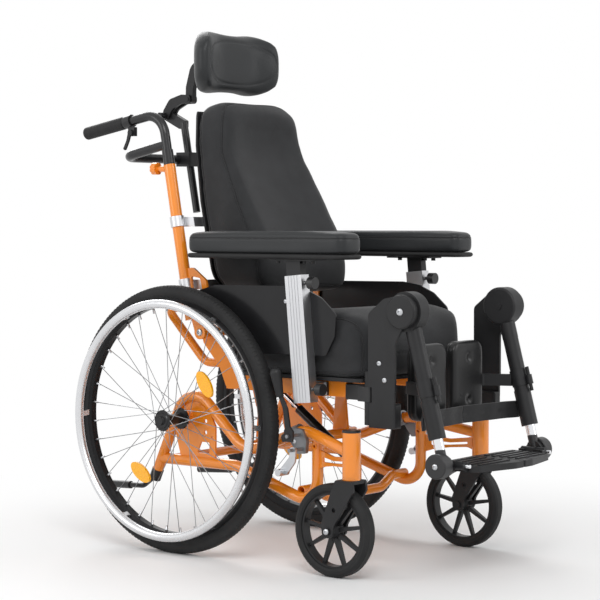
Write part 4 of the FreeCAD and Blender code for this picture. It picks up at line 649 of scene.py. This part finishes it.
def make_seat_cushion():
    bm = solid_mesh("seat_cushion", lambda middle, size: True)
    piece = piece_from("seat_cushion_cover", bm, M["fabric"])
    voxel_remesh(piece, 0.006)
    relax(piece, 14)
    floor_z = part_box("seat_cushion")[0].z + 0.0006
    inflate(piece, 4, 0.009, lambda p: 0.15 + 0.85 * min(1, max(0, (p.z - floor_z) / 0.03)))
    relax(piece, 8)
    limit = 0.1994
    for vertex in piece.data.vertices:
        vertex.co.z = max(vertex.co.z, floor_z)
        vertex.co.x = max(-limit, min(limit, vertex.co.x))
    subdivide(piece)
    profile = [
        (-112, 428), (-505, 428), (-514, 470), (-508, 512), (-488, 538), (-440, 553), (-370, 552),
        (-272, 543), (-180, 534), (-112, 527), (-103, 500)]
    lines = []
    for sign in (-1, 1):
        loop = [at(sign * 200, y, z) for y, z in profile]
        lines.append(seam_line(piece, loop))
    across = [at(x, -560, 468) for x in range(-165, 166, 15)]
    lines.append(seam_line(piece, across, closed=False))
    groove(piece, [places for places, _ in lines], 0.0016, 0.0035)
    tree = surface_of(piece)
    finish_pad(piece, "seat", "seat_cushion")
    welt("seat_cushion_welt", [(settle(tree, line), normals) for line, normals in lines[:2]], 0.0016, "seat",
         M["piping"])
    stitches("seat_cushion_stitches",
             [(tree, lines[0][0], True, 0.0042), (tree, lines[1][0], True, -0.0042),
              (tree, lines[2][0], False, 0.003)],
             "seat", M["thread"])


def settle(tree, places):
    return [tree.find_nearest(place)[0] for place in places]


def front_of_back(z):
    stops = ((592, -187), (640, -190), (715, -168), (820, -112), (925, -60), (1000, -52), (1040, -34))
    return interpolate(stops, z)


def rear_of_back(z):
    return -46 + 80 * (z - 590) / 385 - 5.3


def interpolate(stops, value):
    for (x0, y0), (x1, y1) in zip(stops, stops[1:]):
        if value <= x1:
            return y0 + (y1 - y0) * max(0, (value - x0) / (x1 - x0))
    return stops[-1][1]


BACK_OUTLINE = ((160, 600), (164, 660), (165, 740), (165, 800), (162, 860), (154, 920), (144, 965),
                (130, 1000), (106, 1024), (70, 1033), (0, 1035))


def back_loop(y_of, inset=0.0):
    right = [(x - inset, z) for x, z in BACK_OUTLINE]
    left = [(-x, z) for x, z in reversed(right[:-1])]
    bottom = [(x, 598) for x in range(-140, 141, 20)]
    return [at(x, y_of(z), z) for x, z in right + left + bottom]


def make_back_cushion():
    bm = solid_mesh("back_cushion", lambda middle, size: True)
    piece = piece_from("back_cushion_cover", bm, M["fabric"])
    voxel_remesh(piece, 0.006)
    relax(piece, 16)

    def hold(point):
        z = point.z * 1000
        depth = (point.y - AXLE_Y) * 1000 - front_of_back(z)
        room = rear_of_back(z) - front_of_back(z)
        return max(0.1, min(1, (room - depth) / 20))

    inflate(piece, 4, 0.010, hold)
    relax(piece, 12)
    for vertex in piece.data.vertices:
        x, z = vertex.co.x * 1000, vertex.co.z * 1000
        y = (vertex.co.y - AXLE_Y) * 1000
        share = max(0, min(1, (front_of_back(z) + 46 - y) / 40))
        hollow = max(0, 1 - (x / 128) ** 2) * max(0, min(1, (z - 640) / 80)) * max(0, min(1, (1030 - z) / 60))
        vertex.co.y += 0.013 * share * hollow
        vertex.co.y = min(vertex.co.y, AXLE_Y + (rear_of_back(z) + 0.2) / 1000)
    subdivide(piece)
    front = seam_line(piece, back_loop(lambda z: front_of_back(z) + 6))
    rear = seam_line(piece, back_loop(lambda z: rear_of_back(z) - 8))
    groove(piece, [front[0], rear[0]], 0.0018, 0.0035)
    tree = surface_of(piece)
    finish_pad(piece, "back", "back_cushion")
    edges = [(settle(tree, line), normals) for line, normals in (front, rear)]
    welt("back_cushion_welt", edges, 0.0015, "back",
         M["piping"])
    stitches("back_cushion_stitches", [(tree, front[0], True, 0.0045), (tree, rear[0], True, 0.0045)],
             "back", M["thread"])


def fit_between(piece, box):
    """Spreads the relaxed pad sideways and upwards until it fills the width and height it had."""
    low, high = box
    before = coordinates(piece.data)
    for axis in (0, 2):
        first, last = before[:, axis].min(), before[:, axis].max()
        before[:, axis] = low[axis] + (before[:, axis] - first) * (high[axis] - low[axis]) / (last - first)
    piece.data.vertices.foreach_set("co", before.ravel())
    piece.data.update()


def make_headrest():
    bm = solid_mesh("headrest_pad", lambda middle, size: size.x > 0.2)
    piece = piece_from("headrest_cover", bm, M["vinyl"])
    voxel_remesh(piece, 0.0045)
    relax(piece, 44)
    low_y = AXLE_Y + 0.0778

    inflate(piece, 5, 0.012)
    for vertex in piece.data.vertices:
        out = max(0.0, abs(vertex.co.x) - 0.050) / 0.098
        vertex.co.z = 1.128 + (vertex.co.z - 1.128) * math.sqrt(max(0.12, 1 - out ** 2.2))
    relax(piece, 24)
    fit_between(piece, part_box("headrest_pad"))
    for vertex in piece.data.vertices:
        vertex.co.y = min(vertex.co.y, low_y)
    relax(piece, 2)
    subdivide(piece)
    lines = []
    tree = surface_of(piece)
    face = []
    for k in range(48):
        t = 2 * math.pi * k / 48
        c, s = math.cos(t), math.sin(t)
        x = 118 * math.copysign(abs(c) ** 0.8, c)
        z = 1128 + 50 * math.copysign(abs(s) ** 0.8, s)
        hit = tree.ray_cast(at(x, -80, z), Vector((0, 1, 0)))[0]
        face.append(hit if hit else at(x, 0, z))
    lines.append(seam_line(piece, face))
    groove(piece, [lines[0][0]], 0.0020, 0.0034)
    tree = surface_of(piece)
    finish_pad(piece, "head_pad", "headrest_pad")
    stitches("headrest_stitches", [(tree, lines[0][0], True, 0.0036)], "head_pad", M["thread"])
    mount = solid_mesh("headrest_pad", lambda middle, size: size.x < 0.2)
    holder = piece_from("headrest_mount", mount, M["plastic"], smooth=False)
    soften(holder, 0.0009)
    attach(holder, "head_pad")
    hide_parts("headrest_pad")


def soften(piece, width, angle=math.radians(35)):
    """Breaks the sharp edges of a moulded piece with a small radius."""
    modifier = piece.modifiers.new("edges", "BEVEL")
    modifier.width = width
    modifier.segments = 2
    modifier.limit_method = "ANGLE"
    modifier.angle_limit = angle
    mesh = evaluated_mesh(piece)
    piece.modifiers.clear()
    old = piece.data
    piece.data = mesh
    bpy.data.meshes.remove(old)


def make_armrest(side):
    node = "armrest_pad_" + side
    body = "armrest_" + side
    bm = solid_mesh(node, lambda middle, size: size.z > 0.02)
    piece = piece_from("armrest_cushion_" + side, bm, M["vinyl"])
    voxel_remesh(piece, 0.0045)
    relax(piece, 8)
    low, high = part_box(node)
    foot = low.z + 0.0112
    inflate(piece, 4, 0.0045, lambda p: 0.1 + 0.9 * min(1, max(0, (p.z - foot) / 0.014)))
    relax(piece, 4)
    for vertex in piece.data.vertices:
        vertex.co.z = max(vertex.co.z, foot)
        vertex.co.x = max(low.x - 0.0008, min(high.x + 0.0008, vertex.co.x))
    relax(piece, 2)
    subdivide(piece)
    middle = (low + high) / 2
    half = (high - low) / 2

    def loop(inset, z, corner):
        points = []
        for sx, sy, first in ((1, 1, 0), (-1, 1, 1), (-1, -1, 2), (1, -1, 3)):
            for k in range(7):
                t = math.pi / 2 * (first + k / 6)
                points.append(Vector((
                    middle.x + sx * (half.x - inset - corner) + corner * math.cos(t),
                    middle.y + sy * (half.y - inset - corner) + corner * math.sin(t), z)))
        return points

    line = seam_line(piece, loop(0, high.z - 0.010, 0.022))
    groove(piece, [line[0]], 0.0012, 0.0026)
    tree = surface_of(piece)
    finish_pad(piece, body, node)
    welt("armrest_welt_" + side, [(settle(tree, line[0]), line[1])], 0.0013, body, M["piping"])
    stitches("armrest_stitches_" + side, [(tree, line[0], True, 0.0032)], body, M["thread"])
    foundation = solid_mesh(node, lambda middle, size: size.z < 0.02)
    base = piece_from("armrest_base_" + side, foundation, M["rubber"])
    voxel_remesh(base, 0.0028)
    relax(base, 3)
    bead_z = low.z + 0.0058
    places = coordinates(base.data)
    flat = normals_of(base.data)
    flat[:, 2] = 0
    away = np.clip(1 - np.abs(places[:, 2] - bead_z) / 0.0055, 0, 1) * (np.linalg.norm(flat, axis=1) > 0.5)
    wave = 0.5 + 0.5 * np.cos((places[:, 1] - middle.y) * 24)
    places += flat * (away * (0.0012 + 0.0012 * wave)).reshape(-1, 1)
    base.data.vertices.foreach_set("co", places.ravel())
    base.data.update()
    subdivide(base)
    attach(base, body)
    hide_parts(node)


def make_calf_pad(side):
    node = "calf_pad_" + side
    bm = solid_mesh(node, lambda middle, size: True)
    piece = piece_from("calf_cushion_" + side, bm, M["skin"])
    voxel_remesh(piece, 0.0028)
    relax(piece, 5)
    inflate(piece, 3, 0.0015)
    relax(piece, 5)
    subdivide(piece)
    low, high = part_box(node)
    middle = (low + high) / 2
    points = []
    for k in range(40):
        t = 2 * math.pi * k / 40
        c, s = math.cos(t), math.sin(t)
        points.append(Vector((
            middle.x + (high.x - low.x + 0.004) / 2 * math.copysign(abs(c) ** 0.35, c), middle.y + 0.004,
            middle.z + (high.z - low.z + 0.004) / 2 * math.copysign(abs(s) ** 0.35, s))))
    line = seam_line(piece, points)
    groove(piece, [line[0]], 0.0009, 0.0020)
    finish_pad(piece, node, node)


def make_strap():
    """Black webbing strap behind the calves, one thick band on each side; the doubled, sewn join in the middle
    is not drawn.
    """
    for side in SIDES:
        sign = sign_of(side)
        bm = solid_mesh("leg_sleeve_" + side, lambda middle, size: size.y < 0.04)
        band_low = min(v.co.z for v in bm.verts)
        band_high = max(v.co.z for v in bm.verts)
        near = [v.co for v in bm.verts]
        bm.free()
        centre = sorted({(round(abs(p.x), 4), round(p.y, 4)) for p in near})
        spans = []
        for i in range(0, len(centre), 2):
            pair = centre[i:i + 2]
            spans.append((sum(p[0] for p in pair) / 2, sum(p[1] for p in pair) / 2))
        reach = [Vector((sign * x, y, 0)) for x, y in spans]
        line = resample(reach, 0.0035, False)
        strap = bmesh.new()
        rows = 9
        grid = []
        for i, place in enumerate(line):
            share = i / (len(line) - 1)
            sag = 0.0
            column = []
            for j in range(rows):
                height = j / (rows - 1)
                z = band_low - 0.0006 + (band_high - band_low + 0.0012) * height - sag
                curl = 0.0011 * math.cos(math.pi * (height - 0.5) * 2) + 0.0006 * math.sin(share * 19 + sign)
                column.append(strap.verts.new(Vector((place.x, place.y + curl, z))))
            grid.append(column)
        for i in range(len(grid) - 1):
            for j in range(rows - 1):
                strap.faces.new((grid[i][j], grid[i + 1][j], grid[i + 1][j + 1], grid[i][j + 1]))
        piece = piece_from("calf_strap_" + side, strap, M["webbing"])
        modifier = piece.modifiers.new("thickness", "SOLIDIFY")
        modifier.thickness = 0.0058
        modifier.offset = 0
        mesh = evaluated_mesh(piece)
        piece.modifiers.clear()
        piece.data = mesh
        soften(piece, 0.0009)
        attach(piece, "leg_" + side)


# Small rigid details

# Each row of tread: its two edges across the tyre, its phase round it and its height, in millimetres.
TREAD_ROWS = ((-15.4, -10.0, 0.0, 1.1), (-8.4, -3.2, 0.5, 0.35), (3.2, 8.4, 0.0, 0.35), (10.0, 15.4, 0.5, 1.1))
TREAD_BLOCKS = 180
SPOKES = 36

def tyre_radius(node, centre_x, offset):
    tree = surface_of(frame["nodes"][node])
    start = Vector((centre_x + offset, AXLE_Y, AXLE_Z + 0.4))
    return tree.ray_cast(start, Vector((0, 0, -1)))[0].z - AXLE_Z


def make_tread(side):
    """Four rows of small blocks round the tyre, the shoulder rows a little higher."""
    node = "rear_tyre_" + side
    centre_x = middle_of(node).x
    bm = bmesh.new()
    for first, last, phase, height in TREAD_ROWS:
        offsets = [first, (first + last) / 2, last]
        radii = [tyre_radius(node, centre_x, offset / 1000) for offset in offsets]
        for i in range(TREAD_BLOCKS):
            middle = 2 * math.pi * (i + phase) / TREAD_BLOCKS
            half = 2 * math.pi / TREAD_BLOCKS * 0.33
            grid = []
            for lift, narrow in ((-0.6, 1.0), (height, 0.82)):
                layer = []
                for angle in (middle - half * narrow, middle + half * narrow):
                    for offset, radius in zip(offsets, radii):
                        r = radius + lift / 1000
                        x = centre_x + offset / 1000
                        y, z = AXLE_Y + r * math.sin(angle), AXLE_Z + r * math.cos(angle)
                        layer.append(bm.verts.new((x, y, z)))
                grid.append(layer)
            low, top = grid
            bm.faces.new((top[0], top[1], top[4], top[3]))
            bm.faces.new((top[1], top[2], top[5], top[4]))
            around = (0, 1, 2, 5, 4, 3)
            for k in range(6):
                p, q = around[k], around[(k + 1) % 6]
                bm.faces.new((low[p], low[q], top[q], top[p]))
    piece = piece_from("tyre_tread_" + side, bm, M["tyre"], smooth=False)
    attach(piece, "rear_wheel_" + side)


def lathe(bm, foot, axis, profile, segments=14):
    """A small turned form: profile is radius and height pairs from its rim to its middle."""
    axis = axis.normalized()
    side = axis.orthogonal().normalized()
    up = axis.cross(side)
    rings = []
    for radius, height in profile:
        rings.append([
            bm.verts.new(foot + axis * height + (side * math.cos(t) + up * math.sin(t)) * radius)
            for t in (2 * math.pi * k / segments for k in range(segments))])
    for first, second in zip(rings, rings[1:]):
        for k in range(segments):
            bm.faces.new((first[k], first[(k + 1) % segments], second[(k + 1) % segments], second[k]))
    bm.faces.new(rings[0][::-1])
    bm.faces.new(rings[-1])


def screw(bm, tree, start, direction, radius):
    """A button-head screw with a socket, seated where a line from start first meets the surface."""
    seat = tree.ray_cast(start, direction)[0]
    if seat is None:
        return
    axis = -direction.normalized()
    high = radius * 0.55
    lathe(bm, seat - axis * 0.0006, axis, (
        (radius, 0), (radius, high * 0.35), (radius * 0.82, high * 0.8), (radius * 0.52, high),
        (radius * 0.46, high), (radius * 0.42, high * 0.35)))


SCREWS = (
    ("legrest_hanger", "hanger", ((-549, 456), (-563, 421)), 5.5),
    ("legrest_hanger", "hanger", ((-610, 566),), 8.0),
    ("caster_fork", "caster_fork", ((-463, 100),), 6.5),
    ("brake_mounts", "base", ((-330, 276),), 5.0),
    ("foot_tube", "foot_tube", ((-697, 250),), 6.5),
    ("back_frame", "back", ((-45, 503),), 8.5),
    ("side_panels", "seat", ((-70, 585), (-300, 580)), 5.0),
)


def make_screws():
    for node, body, spots, radius in SCREWS:
        for side in SIDES:
            sign = sign_of(side)
            name = node if node in frame["nodes"] else node + "_" + side
            rider = body if body in frame["bodies"] else body + "_" + side
            tree = surface_of(frame["nodes"][name])
            bm = bmesh.new()
            for y, z in spots:
                screw(bm, tree, at(sign * 400, y, z), Vector((-sign, 0, 0)), radius / 1000)
            if not bm.verts:
                bm.free()
                continue
            piece = piece_from(f"{node}_screws_{side}_{round(radius)}", bm, M["steel"], smooth=False)
            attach(piece, rider)


def make_nipples(side):
    """Bright nipples where the spokes meet the rim."""
    rim = frame["nodes"]["rear_rim_" + side].data
    centre_x = middle_of("rear_rim_" + side).x
    inner = min(math.hypot(v.co.y - AXLE_Y, v.co.z - AXLE_Z) for v in rim.vertices)
    bm = bmesh.new()
    for i in range(SPOKES):
        angle = math.radians(-15.5 + 360 / SPOKES * i)
        out = Vector((0, math.sin(angle), math.cos(angle)))
        foot = Vector((centre_x, AXLE_Y, AXLE_Z)) + out * (inner + 0.0004)
        lathe(bm, foot, -out, ((0.0026, 0), (0.0026, 0.004), (0.0019, 0.0046), (0.0019, 0.013)), 8)
    piece = piece_from("spoke_nipples_" + side, bm, M["steel"])
    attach(piece, "rear_wheel_" + side)


# Camera, lights and floor

def add_camera():
    camera = bpy.data.cameras.new("camera")
    camera.sensor_width = 36
    camera.lens = 110.72
    seen = bpy.data.objects.new("camera", camera)
    seen.location = at(-3300.7, -2870.2, 748.1)
    seen.rotation_euler = (math.pi / 2 - 0.041, 0, -0.885)
    bpy.context.collection.objects.link(seen)
    bpy.context.scene.camera = seen


def add_area(name, location, target, size, watts):
    lamp = bpy.data.lights.new(name, "AREA")
    lamp.shape = "DISK"
    lamp.size = size
    lamp.energy = watts
    holder = bpy.data.objects.new(name, lamp)
    holder.location = location
    holder.rotation_euler = (Vector(target) - Vector(location)).to_track_quat("-Z", "Y").to_euler()
    bpy.context.collection.objects.link(holder)


def seen_directly(tree):
    path = add_node(tree, "ShaderNodeLightPath")
    value = path.outputs["Is Camera Ray"]
    for name in ("Is Glossy Ray", "Is Transmission Ray"):
        both = add_node(tree, "ShaderNodeMath", operation="MAXIMUM")
        tree.links.new(value, both.inputs[0])
        tree.links.new(path.outputs[name], both.inputs[1])
        value = both.outputs[0]
    return value


def add_world():
    world = bpy.data.worlds.new("studio")
    bpy.context.scene.world = world
    world.use_nodes = True
    tree = world.node_tree
    background = tree.nodes["Background"]
    background.inputs["Color"].default_value = (1, 1, 1, 1)
    tree.links.new(remap(tree, seen_directly(tree), 0.5, 1.0), background.inputs["Strength"])


def add_floor():
    """Pale floor that keeps the chair's shadow and fades into the white background further out."""
    reach = 14.0
    data = bpy.data.meshes.new("floor")
    corners = [(-reach, -reach, 0), (reach, -reach, 0), (reach, reach, 0), (-reach, reach, 0)]
    data.from_pydata(corners, [], [(0, 1, 2, 3)])
    floor = bpy.data.objects.new("floor", data)
    bpy.context.collection.objects.link(floor)
    material, tree, shader = new_material("pale_floor")
    shader.inputs["Base Color"].default_value = (0.93, 0.93, 0.93, 1)
    shader.inputs["Roughness"].default_value = 0.7
    glow = add_node(tree, "ShaderNodeEmission")
    length = add_node(tree, "ShaderNodeVectorMath", operation="LENGTH")
    tree.links.new(place(tree), length.inputs[0])
    fade = add_node(tree, "ShaderNodeMapRange", interpolation_type="SMOOTHSTEP")
    fade.inputs["From Min"].default_value = 0.55
    fade.inputs["From Max"].default_value = 1.5
    tree.links.new(length.outputs["Value"], fade.inputs["Value"])
    share = add_node(tree, "ShaderNodeMath", operation="MULTIPLY")
    tree.links.new(fade.outputs["Result"], share.inputs[0])
    tree.links.new(seen_directly(tree), share.inputs[1])
    mix = add_node(tree, "ShaderNodeMixShader")
    tree.links.new(share.outputs[0], mix.inputs[0])
    tree.links.new(shader.outputs[0], mix.inputs[1])
    tree.links.new(glow.outputs[0], mix.inputs[2])
    tree.links.new(mix.outputs[0], tree.nodes["Material Output"].inputs["Surface"])
    data.materials.append(material)


make_seat_cushion()
make_back_cushion()
make_headrest()
for side in SIDES:
    make_armrest(side)
    make_calf_pad(side)
    make_tread(side)
    make_nipples(side)
make_strap()
make_screws()

add_camera()
add_world()
add_floor()
add_area("key", (-2.6, -2.4, 3.4), (0, 0, 0.6), 2.2, 80)
add_area("fill", (-3.2, 1.6, 1.8), (0, 0, 0.6), 2.0, 28)
add_area("front", (1.6, -3.4, 2.0), (0, 0, 0.6), 1.8, 28)
add_area("back", (1.5, 2.8, 2.6), (0, 0, 0.7), 2.0, 40)

view = bpy.context.scene.view_settings
view.view_transform = "Standard"
